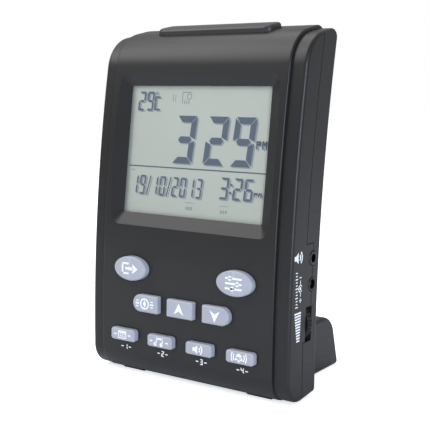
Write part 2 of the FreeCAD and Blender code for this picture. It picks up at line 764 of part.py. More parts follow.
def case_posts(hollow):
    """Posts inside the front shell for the case screws, or the hollow ends that take them."""
    posts = []
    for x, z in screw_places():
        rear, forward = screw_frame(x, z)
        length = BODY_THICKNESS - WALL - BAND_STEP * HALF
        start = rear.add(forward * (FRONT_DEPTH * HALF + POST_GAP))
        if hollow:
            reach = start.add(forward * (FRONT_DEPTH * HALF + WALL))
            posts.append(rod(SCREW_RADIUS + PILOT_CLEARANCE, start.sub(forward * POST_GAP), reach))
        else:
            posts.append(rod(POST_RADIUS, start, rear.add(forward * length)))
    return posts


def screw_wells(hollow):
    """Tubes in the rear cover that the case screws sit in, or the holes down them."""
    wells = []
    for x, z in screw_places():
        rear, forward = screw_frame(x, z)
        seat = rear.add(forward * (SCREW_HEAD + WALL))
        end = rear.add(forward * FRONT_DEPTH * HALF)
        if hollow:
            wells.append(rod(SCREW_HEAD_RADIUS + HEAD_CLEARANCE, rear.sub(forward * WALL), seat))
            wells.append(rod(SCREW_RADIUS + PILOT_CLEARANCE * 2, seat, end.add(forward)))
        else:
            wells.append(rod(SCREW_HEAD_RADIUS + HEAD_CLEARANCE + WALL * HALF,
                             rear.add(forward * WALL * HALF), end))
    return wells


def case_screws():
    """Four pan-head screws that hold the rear cover to the front shell."""
    screws = []
    for x, z in screw_places():
        rear, forward = screw_frame(x, z)
        seat = rear.add(forward * (SCREW_HEAD + WALL))
        head = rod(SCREW_HEAD_RADIUS, seat.sub(forward * SCREW_HEAD), seat)
        shank = rod(SCREW_RADIUS, seat.sub(forward * HALF), seat.add(forward * (FRONT_DEPTH * HALF + WALL)))
        cross = cross_slot(seat.sub(forward * SCREW_HEAD), forward)
        screws.append(fused([head, shank]).cut(cross))
    return Part.makeCompound(screws)


def cross_slot(centre, forward):
    """Cross recess in a screw head, open towards the driver."""
    arm = SCREW_HEAD_RADIUS * 0.6
    width = SCREW_HEAD_RADIUS * 0.12
    bars = fused([box(-arm, arm, -SCREW_HEAD * HALF, SCREW_HEAD * HALF, -width, width),
                  box(-width, width, -SCREW_HEAD * HALF, SCREW_HEAD * HALF, -arm, arm)])
    turn = FreeCAD.Rotation(V(0, -1, 0), forward)
    bars.Placement = FreeCAD.Placement(centre, turn)
    return bars


def front_shell():
    """Front moulding: face, shoulders, half of the sides, top and bottom."""
    outside = body_block(0.0, True)
    hollow = body_block(WALL)
    shell = outside.cut(hollow).common(front_region())
    region = front_region()
    hull = outside.common(region)
    posts = [post.common(hull) for post in case_posts(False)]
    shell = fused([shell, window_rim()] + posts + [post.common(outside) for post in board_posts(False)])
    shell = shell.cut(Part.makeCompound(case_posts(True) + board_posts(True)))
    display = face_frame(DISPLAY_Z)
    shell = shell.cut(placed(recess_cutter(), display)).cut(placed(window_cutter(), display))
    shell = shell.cut(lens_seat())
    for _, kind, x, row in key_list():
        hole = key_plate(kind, KEY_CLEARANCE, -WALL, WALL + KEY_FLANGE_GAP)
        shell = shell.cut(at_key(hole, x, row))
    shell = shell.cut(bar_block(BAR_CLEARANCE).common(bar_shell(BAR_PROUD)))
    shell = shell.cut(wheel_slot())
    for hole in socket_holes(NOSE_CLEARANCE):
        shell = shell.cut(hole)
    return main_solid(shell.cut(front_pad_pockets()))


def main_solid(shape):
    """The largest solid of a shape, without slivers that a cut left over."""
    return max(shape.Solids, key=lambda solid: solid.Volume)


def foot_outline(inset):
    """Side outline of the foot, closed inside the rear cover, with its wall as an inset."""
    slope = math.tan(math.radians(FOOT_SLOPE))
    lean = inset / math.cos(math.radians(FOOT_SLOPE))
    top = FOOT_TOP - inset
    low = PAD_HEIGHT + inset
    front = arc_y(BAND_REAR_RADIUS, FOOT_TOP * HALF) - FRONT_DEPTH * HALF

    def rear(z):
        return FOOT_REAR_Y - (z - PAD_HEIGHT) * slope - lean

    return [V(0, front, low), V(0, rear(low), low), V(0, rear(top), top), V(0, front, top)]


def foot_block(inset, half_width, end_round=0.0):
    """Solid of the foot's side outline."""
    points = foot_outline(inset)
    wire = Part.makePolygon(points + [points[0]])
    face = Part.Face(wire)
    face.translate(V(-half_width, 0, 0))
    solid = face.extrude(V(2 * half_width, 0, 0))
    solid = fillet_along_x(solid, points[2], FOOT_TOP_ROUND - inset)
    solid = fillet_along_x(solid, points[1], max(FOOT_TOE_ROUND - inset, WALL * HALF * HALF))
    if end_round:
        edges = [edge for edge in end_edges(solid, half_width)
                 if edge.BoundBox.ZMax > PAD_HEIGHT + end_round
                 and edge.BoundBox.YMin > points[0].y + end_round]
        solid = solid.makeFillet(end_round, edges)
    return solid


def neck_block(grow):
    """The foot's part that passes through the rear cover, as a block."""
    half = DOOR_WIDTH * HALF + FOOT_WALL + grow
    low = PAD_HEIGHT + WALL + DOOR_SINK
    return box(-half, half, bay_front() - FOOT_WALL - grow, arc_y(BAND_REAR_RADIUS, FOOT_TOP) + FOOT_WALL,
               low - grow, FOOT_TOP - FOOT_WALL + grow)


def cell_pitch():
    """Distance between neighbouring cells."""
    return 2 * CELL_RADIUS + CELL_GAP


def cell_z():
    """Height of the cells' axes."""
    return PAD_HEIGHT + DOOR_SINK + DOOR_THICKNESS + CELL_GAP + CELL_RADIUS + WALL


def rear_cell_y():
    """Place of the rearmost cell's axis, clear of the foot's sloping wall."""
    slope = math.radians(FOOT_SLOPE)
    wall_y = FOOT_REAR_Y - (cell_z() - PAD_HEIGHT) * math.tan(slope) - FOOT_WALL / math.cos(slope)
    return wall_y - CELL_RADIUS / math.cos(slope) - CELL_GAP


def bay_front():
    """Place of the bay's front wall, inside."""
    return rear_cell_y() - (CELL_COUNT - 1) * cell_pitch() - CELL_RADIUS - CELL_GAP


def door_plan(grow, low, high):
    """Block round the battery door, up to the foot's rear."""
    half = DOOR_WIDTH * HALF + grow
    return box(-half, half, door_front() - grow, CLOCK_DEPTH, low, high)


def door_front():
    """Front edge of the battery door, behind the rear cover."""
    return arc_y(BAND_REAR_RADIUS, PAD_HEIGHT) + FOOT_WALL


def battery_door():
    """Sliding door under the foot, with a lip that closes the foot's rear edge and finger ribs."""
    low = PAD_HEIGHT + DOOR_SINK
    plate = door_plan(0.0, low, low + DOOR_THICKNESS)
    tongues = box(-DOOR_WIDTH * HALF - DOOR_TONGUE, DOOR_WIDTH * HALF + DOOR_TONGUE, door_front(),
                  FOOT_REAR_Y - 4 * FOOT_WALL, low + DOOR_THICKNESS * HALF, low + DOOR_THICKNESS)
    lip = door_plan(0.0, low, low + DOOR_LIP_HEIGHT).cut(
        box(-BODY_WIDTH, BODY_WIDTH, -CLOCK_DEPTH, FOOT_REAR_Y - 2 * FOOT_WALL,
            low + DOOR_THICKNESS, FOOT_TOP))
    door = fused([plate, lip]).common(foot_block(0.0, BODY_WIDTH))
    door = fused([door, tongues])
    ribs = []
    for index in range(5):
        y = FOOT_REAR_Y - (6 + 2 * index) * FOOT_WALL * HALF
        ribs.append(box(-DOOR_WIDTH / 6, DOOR_WIDTH / 6, y - HALF * HALF, y + HALF * HALF,
                        low - WALL, low + HALF * HALF))
    return door.cut(Part.makeCompound(ribs))


def foot_housing():
    """Foot moulding with the battery bay, open underneath for its door."""
    outer = foot_block(0.0, FOOT_WIDTH * HALF, FOOT_EDGE_ROUND).cut(drum_space())
    shell = fused([outer, neck_block(0.0)])
    low = PAD_HEIGHT + DOOR_SINK + DOOR_THICKNESS
    bay = foot_block(FOOT_WALL, DOOR_WIDTH * HALF - DOOR_TONGUE)
    bay = bay.fuse(box(-contact_x(), contact_x(), bay_front(), rear_cell_y(),
                       cell_z() - CELL_RADIUS - CELL_GAP, FOOT_TOP - 2 * FOOT_WALL))
    bay = bay.common(box(-BODY_WIDTH, BODY_WIDTH, bay_front(), CLOCK_DEPTH, 0, FOOT_TOP - FOOT_WALL))
    shell = shell.cut(bay)
    shell = shell.cut(door_plan(DOOR_CLEARANCE, -WALL, low + DOOR_CLEARANCE))
    groove = box(-DOOR_WIDTH * HALF - DOOR_TONGUE - DOOR_CLEARANCE,
                 DOOR_WIDTH * HALF + DOOR_TONGUE + DOOR_CLEARANCE, door_front() - DOOR_CLEARANCE,
                 CLOCK_DEPTH, low - DOOR_THICKNESS * HALF - DOOR_CLEARANCE, low + DOOR_CLEARANCE)
    shell = shell.cut(groove)
    lip_space = box(-DOOR_WIDTH * HALF - DOOR_CLEARANCE, DOOR_WIDTH * HALF + DOOR_CLEARANCE,
                    FOOT_REAR_Y - 2 * FOOT_WALL - DOOR_CLEARANCE, CLOCK_DEPTH, -WALL,
                    PAD_HEIGHT + DOOR_SINK + DOOR_LIP_HEIGHT + DOOR_CLEARANCE)
    shell = shell.cut(lip_space)
    bosses = []
    holes = []
    for side in (-1, 1):
        start, end = foot_screw_line(side)
        bosses.append(rod(POST_RADIUS * 0.8, start.add(V(0, FOOT_WALL + HEAD_CLEARANCE, 0)), end))
        holes.append(rod(SCREW_RADIUS + PILOT_CLEARANCE, start.sub(V(0, WALL, 0)), end))
    shell = fused([shell] + bosses).cut(Part.makeCompound(holes)).cut(foot_pad_pockets())
    return main_solid(shell)


def drum_space():
    """Everything in front of the rear cover's outer face, with a small gap."""
    block = box(-BODY_WIDTH, BODY_WIDTH, -CLOCK_DEPTH, CLOCK_DEPTH, -WALL, 2 * FOOT_TOP)
    return block.cut(drum(BAND_REAR_RADIUS - LIP_CLEARANCE))


def foot_screw_line(side):
    """Line of a screw from inside the rear cover into the top of the foot."""
    z = FOOT_TOP - FOOT_WALL - POST_RADIUS * 0.8
    y = arc_y(BAND_REAR_RADIUS + WALL, z)
    return V(side * FOOT_SCREW_X, y, z), V(side * FOOT_SCREW_X, y + FRONT_DEPTH, z)


def foot_screws():
    """Two screws that hold the foot to the rear cover."""
    screws = []
    for side in (-1, 1):
        start, end = foot_screw_line(side)
        head_end = start.sub(V(0, SCREW_HEAD, 0))
        head = rod(SCREW_HEAD_RADIUS, head_end, start)
        shank = rod(SCREW_RADIUS, start.sub(V(0, HALF, 0)), end.sub(V(0, WALL, 0)))
        screws.append(fused([head, shank]))
    return Part.makeCompound(screws)


def cell_way(index):
    """Direction along X that a cell's nub points; neighbours lie opposite ways."""
    return 1 if index % 2 == 0 else -1


def cell_shoulder():
    """Distance of a cell's nub end from the clock's middle plane."""
    return contact_x() - CONTACT_THICKNESS - CELL_NUB


def cell(index):
    """One round cell whose nub touches its contact plate."""
    y = rear_cell_y() - index * cell_pitch()
    way = cell_way(index)
    end = cell_shoulder()
    can = rod(CELL_RADIUS, V(way * (end - CELL_LENGTH), y, cell_z()), V(way * end, y, cell_z()))
    rims = [edge for edge in can.Edges if isinstance(edge.Curve, Part.Circle)]
    can = can.makeFillet(CELL_GAP, rims)
    nub = rod(CELL_NUB_RADIUS, V(way * (end - HALF), y, cell_z()), V(way * (end + CELL_NUB), y, cell_z()))
    return fused([can, nub])


def contact_x():
    """Inner face of the bay's end walls."""
    return DOOR_WIDTH * HALF - DOOR_TONGUE


def battery_contacts():
    """Sprung metal plates on the bay's end walls, one for each end of each cell."""
    plates = []
    half = CELL_RADIUS * 0.7
    for index in range(CELL_COUNT):
        y = rear_cell_y() - index * cell_pitch()
        for side in (-1, 1):
            x0 = side * contact_x()
            x1 = side * (contact_x() - CONTACT_THICKNESS)
            plates.append(box(min(x0, x1), max(x0, x1), y - half, y + half, cell_z() - half,
                              cell_z() + half))
    return Part.makeCompound(plates)


def battery_spring(index):
    """Coil spring that presses a cell towards its far contact."""
    y = rear_cell_y() - index * cell_pitch()
    way = cell_way(index)
    start_x = contact_x() - CONTACT_THICKNESS - SPRING_WIRE
    length = start_x - SPRING_WIRE - (CELL_LENGTH - cell_shoulder())
    pitch = length / SPRING_TURNS
    helix = Part.makeHelix(pitch, length, SPRING_RADIUS)
    profile = Part.Wire([Part.Circle(V(SPRING_RADIUS, 0, 0), V(0, 1, 0), SPRING_WIRE).toShape()])
    coil = Part.Wire(helix.Edges).makePipeShell([profile], True, False)
    coil.rotate(V(0, 0, 0), V(0, 1, 0), 90 * way)
    coil.translate(V(-way * start_x, y, cell_z()))
    return coil


def speaker_point(depth):
    """A point on the speaker's axis, a depth in front of the band's rear inner wall."""
    angle = math.radians(face_angle(SPEAKER_Z))
    rear = V(0, arc_y(BAND_REAR_RADIUS + WALL, SPEAKER_Z), SPEAKER_Z)
    return rear.add(V(0, -math.cos(angle), math.sin(angle)) * depth)


def speaker_forward():
    """Way from the rear wall into the clock at the speaker."""
    return speaker_point(1.0).sub(speaker_point(0.0))


def speaker_gap():
    """Room between the speaker's flat rim and the curved rear wall."""
    return SPEAKER_RADIUS ** 2 / (2 * BAND_REAR_RADIUS) + STACK_GAP + SURROUND


def speaker_basket():
    """Pressed steel basket of the speaker."""
    forward = speaker_forward()
    start = speaker_point(speaker_gap())
    rim = Part.makeCylinder(SPEAKER_RADIUS, BASKET_RIM, start, forward)
    bowl = Part.makeCone(CONE_RADIUS + WALL * HALF, MAGNET_RADIUS * 0.8, BASKET_DEPTH, start, forward)
    hollow = Part.makeCone(CONE_RADIUS, MAGNET_RADIUS * 0.55, BASKET_DEPTH - HALF, start.sub(forward * HALF),
                           forward)
    return fused([rim, bowl]).cut(hollow)


def speaker_cone():
    """Paper cone with its dust cap and its surround, which is glued to the basket's rim."""
    forward = speaker_forward()
    start = speaker_point(speaker_gap() - SURROUND)
    wide = CONE_RADIUS - 3 * HALF
    narrow = MAGNET_RADIUS * HALF
    depth = BASKET_DEPTH - 2 * HALF
    outer = Part.makeCone(wide, narrow, depth, start, forward)
    inner = Part.makeCone(wide - HALF, narrow - HALF, depth, start.sub(forward * HALF), forward)
    surround = Part.makeCylinder(SPEAKER_RADIUS - HALF, SURROUND, start, forward)
    surround = surround.cut(Part.makeCylinder(wide - HALF, 2 * SURROUND, start.sub(forward * HALF * SURROUND),
                                              forward))
    cap = Part.makeSphere(narrow, speaker_point(speaker_gap() + depth))
    keep = Part.makeCylinder(narrow, depth * HALF, speaker_point(speaker_gap() - SURROUND + depth * HALF),
                             forward)
    return fused([outer.cut(inner), surround, cap.common(keep)])


def speaker_magnet():
    """Round magnet on the speaker's inner end."""
    forward = speaker_forward()
    return Part.makeCylinder(MAGNET_RADIUS, MAGNET_DEPTH, speaker_point(speaker_gap() + BASKET_DEPTH),
                             forward)


def speaker_ring(outside):
    """Round rib of the rear cover that the speaker sits in."""
    forward = speaker_forward()
    start = speaker_point(-WALL * HALF)
    inner = SPEAKER_RADIUS + RING_CLEARANCE
    tube = Part.makeCylinder(inner + RING_WALL, RING_LENGTH, start, forward)
    return tube.cut(Part.makeCylinder(inner, 3 * RING_LENGTH, start.sub(forward * RING_LENGTH),
                                      forward)).common(outside)


def grille():
    """Rows of round-ended slots in the rear cover over the speaker."""
    cutters = []
    for index in range(GRILLE_SLOTS):
        offset = (index - (GRILLE_SLOTS - 1) * HALF) * GRILLE_PITCH
        half = math.sqrt(CONE_RADIUS ** 2 - offset ** 2) - GRILLE_SLOT * HALF
        z = SPEAKER_Z + offset
        y = arc_y(BAND_REAR_RADIUS, z)
        slot = fused([
            box(-half, half, y - 2 * WALL, y + WALL, z - GRILLE_SLOT * HALF, z + GRILLE_SLOT * HALF),
            rod(GRILLE_SLOT * HALF, V(-half, y - 2 * WALL, z), V(-half, y + WALL, z)),
            rod(GRILLE_SLOT * HALF, V(half, y - 2 * WALL, z), V(half, y + WALL, z)),
        ])
        cutters.append(slot)
    return Part.makeCompound(cutters)


def rear_lip():
    """Thin tongue of the rear cover that fits inside the front shell's rim."""
    outer = body_block(WALL + LIP_CLEARANCE)
    inner = body_block(WALL + LIP_CLEARANCE + LIP_WALL)
    ring = outer.cut(inner)
    ring = ring.common(drum(SEAM_RADIUS + LIP_LENGTH)).cut(drum(SEAM_RADIUS - WALL))
    slot_low = WHEEL_Z - SLOT_HEIGHT * HALF - WALL
    ring = ring.cut(box(BODY_WIDTH * HALF - 3 * WALL, BODY_WIDTH, -CLOCK_DEPTH, CLOCK_DEPTH, slot_low,
                        JOG_TOP_Z + WALL))
    for x, z in screw_places():
        rear, forward = screw_frame(x, z)
        ring = ring.cut(rod(POST_RADIUS + POST_GAP, rear, rear.add(forward * BODY_THICKNESS)))
    return ring


def rear_cover():
    """Rear moulding: back with the grille, half of the sides, top and bottom."""
    outside = body_block(0.0, True)
    hollow = body_block(WALL)
    shell = outside.cut(hollow).common(rear_region())
    wells = [well.common(outside) for well in screw_wells(False)]
    shell = fused([shell, speaker_ring(outside)] + wells)
    shell = shell.fuse(rear_lip().cut(Part.makeCompound(screw_wells(True))))
    shell = shell.cut(Part.makeCompound(screw_wells(True)))
    shell = shell.cut(grille())
    shell = shell.cut(bar_block(BAR_CLEARANCE).common(bar_shell(BAR_PROUD)))
    shell = shell.cut(neck_block(NECK_CLEARANCE))
    for side in (-1, 1):
        start, end = foot_screw_line(side)
        shell = shell.cut(rod(SCREW_RADIUS + 2 * PILOT_CLEARANCE, start.sub(V(0, WALL, 0)), end))
        shell = shell.cut(rod(SCREW_HEAD_RADIUS + PILOT_CLEARANCE, start.sub(V(0, WALL, 0)), start))
    shell = shell.cut(wheel_slot())
    for hole in socket_holes(NOSE_CLEARANCE):
        shell = shell.cut(hole)
    return main_solid(shell)


def window_rim():
    """Inner wall of the display recess, before the recess and the lens's seat are cut."""
    rim = rounded_plate(RECESS_WIDTH - 2 * BEZEL_RIM, RECESS_HEIGHT - 2 * BEZEL_RIM, RECESS_ROUND,
                        WALL * HALF, RECESS_DEPTH + BEZEL_BACK)
    return placed(rim, face_frame(DISPLAY_Z))


def lens_seat():
    """Pocket behind the window that the lens lies in."""
    seat = rounded_plate(WINDOW_WIDTH + 2 * LENS_LAP + 2 * LENS_CLEARANCE,
                         WINDOW_HEIGHT + 2 * LENS_LAP + 2 * LENS_CLEARANCE, WINDOW_ROUND,
                         RECESS_DEPTH + STACK_GAP, RECESS_DEPTH + 2 * BEZEL_BACK)
    return placed(seat, face_frame(DISPLAY_Z))


def board_screw_places():
    """Local frame's height, place and board depth of every board screw."""
    places = []
    for side in (-1, 1):
        for row in (-BOARD_SCREW_Z, BOARD_SCREW_Z):
            places.append((DISPLAY_Z, side * BOARD_SCREW_X, row, RECESS_DEPTH + board_depth()))
        for row in (KEY_SCREW_LOW, KEY_SCREW_HIGH):
            places.append((KEYPAD_Z, side * BOARD_SCREW_X, row, key_board_depth()))
    return places


def board_posts(hollow):
    """Posts inside the face that carry the boards, or the screw holes in them."""
    posts = []
    for z, x, row, depth in board_screw_places():
        radius = BOARD_SCREW_RADIUS + PILOT_CLEARANCE if hollow else BOARD_POST_RADIUS
        start = depth - BOARD_SCREW_HEAD * 2 if hollow else WALL * HALF
        posts.append(placed(rod(radius, V(x, start, row), V(x, depth, row)), face_frame(z)))
    return posts


def board_screws():
    """Small screws that hold the main board and the key board to the face's posts."""
    screws = []
    for z, x, row, depth in board_screw_places():
        back = depth + BOARD_THICKNESS
        shank = rod(BOARD_SCREW_RADIUS, V(x, depth - BOARD_SCREW_HEAD, row), V(x, back + HALF, row))
        head = rod(BOARD_POST_RADIUS, V(x, back, row), V(x, back + BOARD_SCREW_HEAD, row))
        screws.append(placed(fused([shank, head]), face_frame(z)))
    return Part.makeCompound(screws)


def board_holes(depth, frame_z):
    """Holes of one board for its screws, in the board's own frame."""
    return Part.makeCompound([
        rod(BOARD_SCREW_RADIUS + PILOT_CLEARANCE, V(x, depth - WALL, row), V(x, depth + 2 * WALL, row))
        for z, x, row, _ in board_screw_places() if z == frame_z])


def display_plate(width, height, radius, depth, thickness):
    """Plate of the display stack, a depth behind the recess's floor."""
    y = RECESS_DEPTH + depth
    return placed(rounded_plate(width, height, radius, y, y + thickness), face_frame(DISPLAY_Z))


def lens_depth():
    """Depth of the lens's front behind the recess's floor."""
    return STACK_GAP


def lcd_depth():
    """Depth of the display glass's front behind the recess's floor."""
    return max(BEZEL_BACK, lens_depth() + LENS_THICKNESS) + STACK_GAP


def board_depth():
    """Depth of the main board's front behind the recess's floor."""
    return lcd_depth() + LCD_THICKNESS + STACK_GAP + GUIDE_THICKNESS + STACK_GAP


def window_lens():
    """Clear window over the display."""
    return display_plate(WINDOW_WIDTH + 2 * LENS_LAP, WINDOW_HEIGHT + 2 * LENS_LAP, WINDOW_ROUND,
                         lens_depth(), LENS_THICKNESS)


def lcd_panel():
    """Liquid-crystal glass."""
    return display_plate(WINDOW_WIDTH + 2 * LCD_MARGIN, WINDOW_HEIGHT + 2 * LCD_MARGIN, HALF,
                         lcd_depth(), LCD_THICKNESS)


def light_guide():
    """White light guide behind the display glass."""
    return display_plate(WINDOW_WIDTH + LCD_MARGIN, WINDOW_HEIGHT + LCD_MARGIN - 2 * STRIP_THICKNESS, HALF,
                         lcd_depth() + LCD_THICKNESS + STACK_GAP, GUIDE_THICKNESS)


def contact_strips():
    """Two rubber contact strips between the display glass and the board."""
    strips = []
    for side in (-1, 1):
        y = RECESS_DEPTH + lcd_depth() + LCD_THICKNESS
        z = side * (WINDOW_HEIGHT * HALF + LCD_MARGIN - STRIP_THICKNESS)
        half = WINDOW_WIDTH * HALF
        strip = box(-half, half, y, RECESS_DEPTH + board_depth(), z - STRIP_THICKNESS * HALF,
                    z + STRIP_THICKNESS * HALF)
        strips.append(placed(strip, face_frame(DISPLAY_Z)))
    return Part.makeCompound(strips)


def main_board():
    """Circuit board behind the display, with a tongue that carries the light bar's switch."""
    y = RECESS_DEPTH + board_depth()
    plate = rounded_plate(BOARD_WIDTH, BOARD_HEIGHT, SMALL_ROUND, y, y + BOARD_THICKNESS)
    tongue = box(-TONGUE_WIDTH * HALF, TONGUE_WIDTH * HALF, y, y + BOARD_THICKNESS, 0, TONGUE_TOP)
    board = fused([plate, tongue]).cut(board_holes(y, DISPLAY_Z))
    return placed(board, face_frame(DISPLAY_Z))


def board_part(x0, x1, z0, z1, height):
    """A block on the back of the main board, in the display's frame."""
    y = RECESS_DEPTH + board_depth() + BOARD_THICKNESS
    return placed(box(x0, x1, y, y + height, z0, z1), face_frame(DISPLAY_Z))


def board_box(x, z, width, height, stand_off):
    """A block on the back of the main board from its lower left corner."""
    return board_part(x, x + width, z, z + height, stand_off)


def board_back():
    """Depth of the main board's back behind the face."""
    return RECESS_DEPTH + board_depth() + BOARD_THICKNESS


def clock_chip():
    """Clock controller under its resin cap."""
    cap = Part.makeCone(CLOCK_CHIP_RADIUS, CLOCK_CHIP_TOP, CLOCK_CHIP_HEIGHT,
                        V(CLOCK_CHIP_X, board_back(), CLOCK_CHIP_Z), V(0, 1, 0))
    return placed(cap, face_frame(DISPLAY_Z))


def sound_chips():
    """Memory and amplifier chips on the main board."""
    return Part.makeCompound([board_box(*MEMORY_CHIP), board_box(*SOUND_CHIP)])


def timing_crystal():
    """Timing crystal can."""
    y = board_back() + CRYSTAL_RADIUS
    can = rod(CRYSTAL_RADIUS, V(CRYSTAL_X, y, CRYSTAL_Z), V(CRYSTAL_X, y, CRYSTAL_Z + CRYSTAL_LENGTH))
    return placed(can, face_frame(DISPLAY_Z))


def capacitors():
    """Upright electrolytic capacitors on the main board."""
    y = board_back()
    cans = []
    for x in CAPACITOR_XS:
        can = rod(CAPACITOR_RADIUS, V(x, y, CAPACITOR_Z), V(x, y + CAPACITOR_HEIGHT, CAPACITOR_Z))
        cans.append(placed(can, face_frame(DISPLAY_Z)))
    return Part.makeCompound(cans)


def bar_switch():
    """Push switch on the main board's tongue, under the light bar."""
    half = STUB_RADIUS * 2
    case = board_part(-half, half, TONGUE_TOP - 2 * half, TONGUE_TOP, 2 * half)
    head = flange_bottom() + BAR_TRAVEL + DOME_GAP
    button = bar_rod(STUB_RADIUS, -head - 2 * half, -head)
    return fused([case, button])


def pad_block(x, y, z0, z1, sideways):
    """One rubber pad, long along Y, or along X where it is sideways."""
    dx = (PAD_LENGTH if sideways else PAD_WIDTH) * HALF
    dy = (PAD_WIDTH if sideways else PAD_LENGTH) * HALF
    return box(x - dx, x + dx, y - dy, y + dy, z0, z1)


def front_pad_places():
    """Where the two front pads lie, under the lowest line of the body."""
    y = FRONT_Y + BAND_BOTTOM_ROUND - PAD_SINK - PAD_SINK
    return [(side * BAND_WIDTH * HALF * 0.75, y) for side in (-1, 1)]


def foot_pad_places():
    """Where the two rear pads lie, on the foot's side rails."""
    x = (FOOT_WIDTH + DOOR_WIDTH) * HALF * HALF + DOOR_TONGUE * HALF + DOOR_CLEARANCE
    return [(side * x, FOOT_REAR_Y - FOOT_TOP * HALF) for side in (-1, 1)]


def front_pad_pockets():
    """Shallow pockets for the front pads."""
    return Part.makeCompound([pad_block(x, y, -WALL, PAD_HEIGHT + PAD_SINK, True)
                              for x, y in front_pad_places()])


def foot_pad_pockets():
    """Shallow pockets for the foot's pads."""
    return Part.makeCompound([pad_block(x, y, -WALL, PAD_HEIGHT + PAD_SINK, False)
                              for x, y in foot_pad_places()])


def front_pads():
    """Rubber pads under the body."""
    return Part.makeCompound([pad_block(x, y, 0.0, PAD_HEIGHT + PAD_SINK, True)
                              for x, y in front_pad_places()])


def foot_pads():
    """Rubber pads under the foot."""
    return Part.makeCompound([pad_block(x, y, 0.0, PAD_HEIGHT + PAD_SINK, False)
                              for x, y in foot_pad_places()])


def all_parts():
    """Every node's name with its shape."""
    parts = {
        "front_shell": front_shell(),
        "rear_cover": rear_cover(),
        "window_lens": window_lens(),
        "lcd_panel": lcd_panel(),
        "light_guide": light_guide(),
        "contact_strips": contact_strips(),
        "main_board": main_board(),
        "clock_chip": clock_chip(),
        "sound_chips": sound_chips(),
        "timing_crystal": timing_crystal(),
        "capacitors": capacitors(),
        "key_mat": key_mat(),
        "key_board": key_board(),
        "light_bar": light_bar(),
        "bar_switch": bar_switch(),
        "volume_wheel": volume_wheel(),
        "volume_control": volume_control(),
        "phone_socket": phone_socket(),
        "power_socket": power_socket(),
        "power_pin": power_pin(),
        "speaker_basket": speaker_basket(),
        "speaker_cone": speaker_cone(),
        "speaker_magnet": speaker_magnet(),
        "foot_housing": foot_housing(),
        "battery_door": battery_door(),
        "battery_contacts": battery_contacts(),
        "case_screws": case_screws(),
        "board_screws": board_screws(),
        "side_board": side_board(),
        "foot_screws": foot_screws(),
        "front_pads": front_pads(),
        "foot_pads": foot_pads(),
    }
    for name, kind, x, row in key_list():
        parts[name] = at_key(key(kind), x, row)
    for index in range(CELL_COUNT):
        parts["cell_%d" % (index + 1)] = cell(index)
        parts["battery_spring_%d" % (index + 1)] = battery_spring(index)
    return parts


def origin_shift():
    """Sideways move that puts the origin under the middle of the body and its wheel together."""
    return V(-WHEEL_PROUD * HALF, 0, 0)


def main():
    """Write one file for each node."""
    os.makedirs("parts", exist_ok=True)
    whole = FreeCAD.BoundBox()
    for name, shape in all_parts().items():
        shape.translate(origin_shift())
        shape.exportStep("parts/%s.step" % name)
        whole.add(shape.optimalBoundingBox(False, False))
        print(name, "valid", shape.isValid(), "solids", len(shape.Solids), "volume", round(shape.Volume, 1))
    print("box", [round(value, 3) for value in (whole.XMin, whole.XMax, whole.YMin, whole.YMax,
                                                whole.ZMin, whole.ZMax)])


main()
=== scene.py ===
"""Looks of the desk clock: finishes, display graphics, key marks, side marks, floor, lights and camera."""

import json
import math
from collections import namedtuple

import bmesh
import bpy
from mathutils import Matrix, Vector


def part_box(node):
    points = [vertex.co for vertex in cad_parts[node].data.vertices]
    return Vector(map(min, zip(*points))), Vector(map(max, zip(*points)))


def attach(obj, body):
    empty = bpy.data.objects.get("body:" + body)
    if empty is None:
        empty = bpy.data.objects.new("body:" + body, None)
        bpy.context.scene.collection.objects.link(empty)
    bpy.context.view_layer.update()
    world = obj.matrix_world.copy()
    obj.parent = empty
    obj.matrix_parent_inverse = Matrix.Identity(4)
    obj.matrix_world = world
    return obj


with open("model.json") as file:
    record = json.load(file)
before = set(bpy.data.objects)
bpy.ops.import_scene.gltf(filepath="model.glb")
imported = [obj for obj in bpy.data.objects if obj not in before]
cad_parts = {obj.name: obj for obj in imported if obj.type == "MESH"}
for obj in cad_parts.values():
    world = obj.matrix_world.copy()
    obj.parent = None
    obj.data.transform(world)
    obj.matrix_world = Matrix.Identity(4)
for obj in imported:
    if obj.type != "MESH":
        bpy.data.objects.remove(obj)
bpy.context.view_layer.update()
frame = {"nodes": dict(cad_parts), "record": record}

MM = 0.001
BODY = "body"

# Sizes of the part that the pieces are laid on, in millimetres
FACE_RADIUS = 690.0
UPRIGHT_Z = 6.9
BODY_HALF = 51.0
DISPLAY_Z = 99.5
RECESS_DEPTH = 3.3
WINDOW_WIDTH = 71.2
LCD_BEHIND_FLOOR = 1.3
KEYPAD_Z = 33.9
KEY_PROUD = 2.5
OVAL_X = 26.9
OVAL_ROW = 14.3
MIDDLE_PITCH = 18.2
SMALL_PITCH = 20.3
SMALL_ROW = -15.3

# Where the frame puts them
MIDDLE_X = (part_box("front_shell")[0].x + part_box("front_shell")[1].x) / 2 / MM
FRONT_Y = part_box("front_shell")[0].y / MM
CENTRE_Y = FRONT_Y + FACE_RADIUS

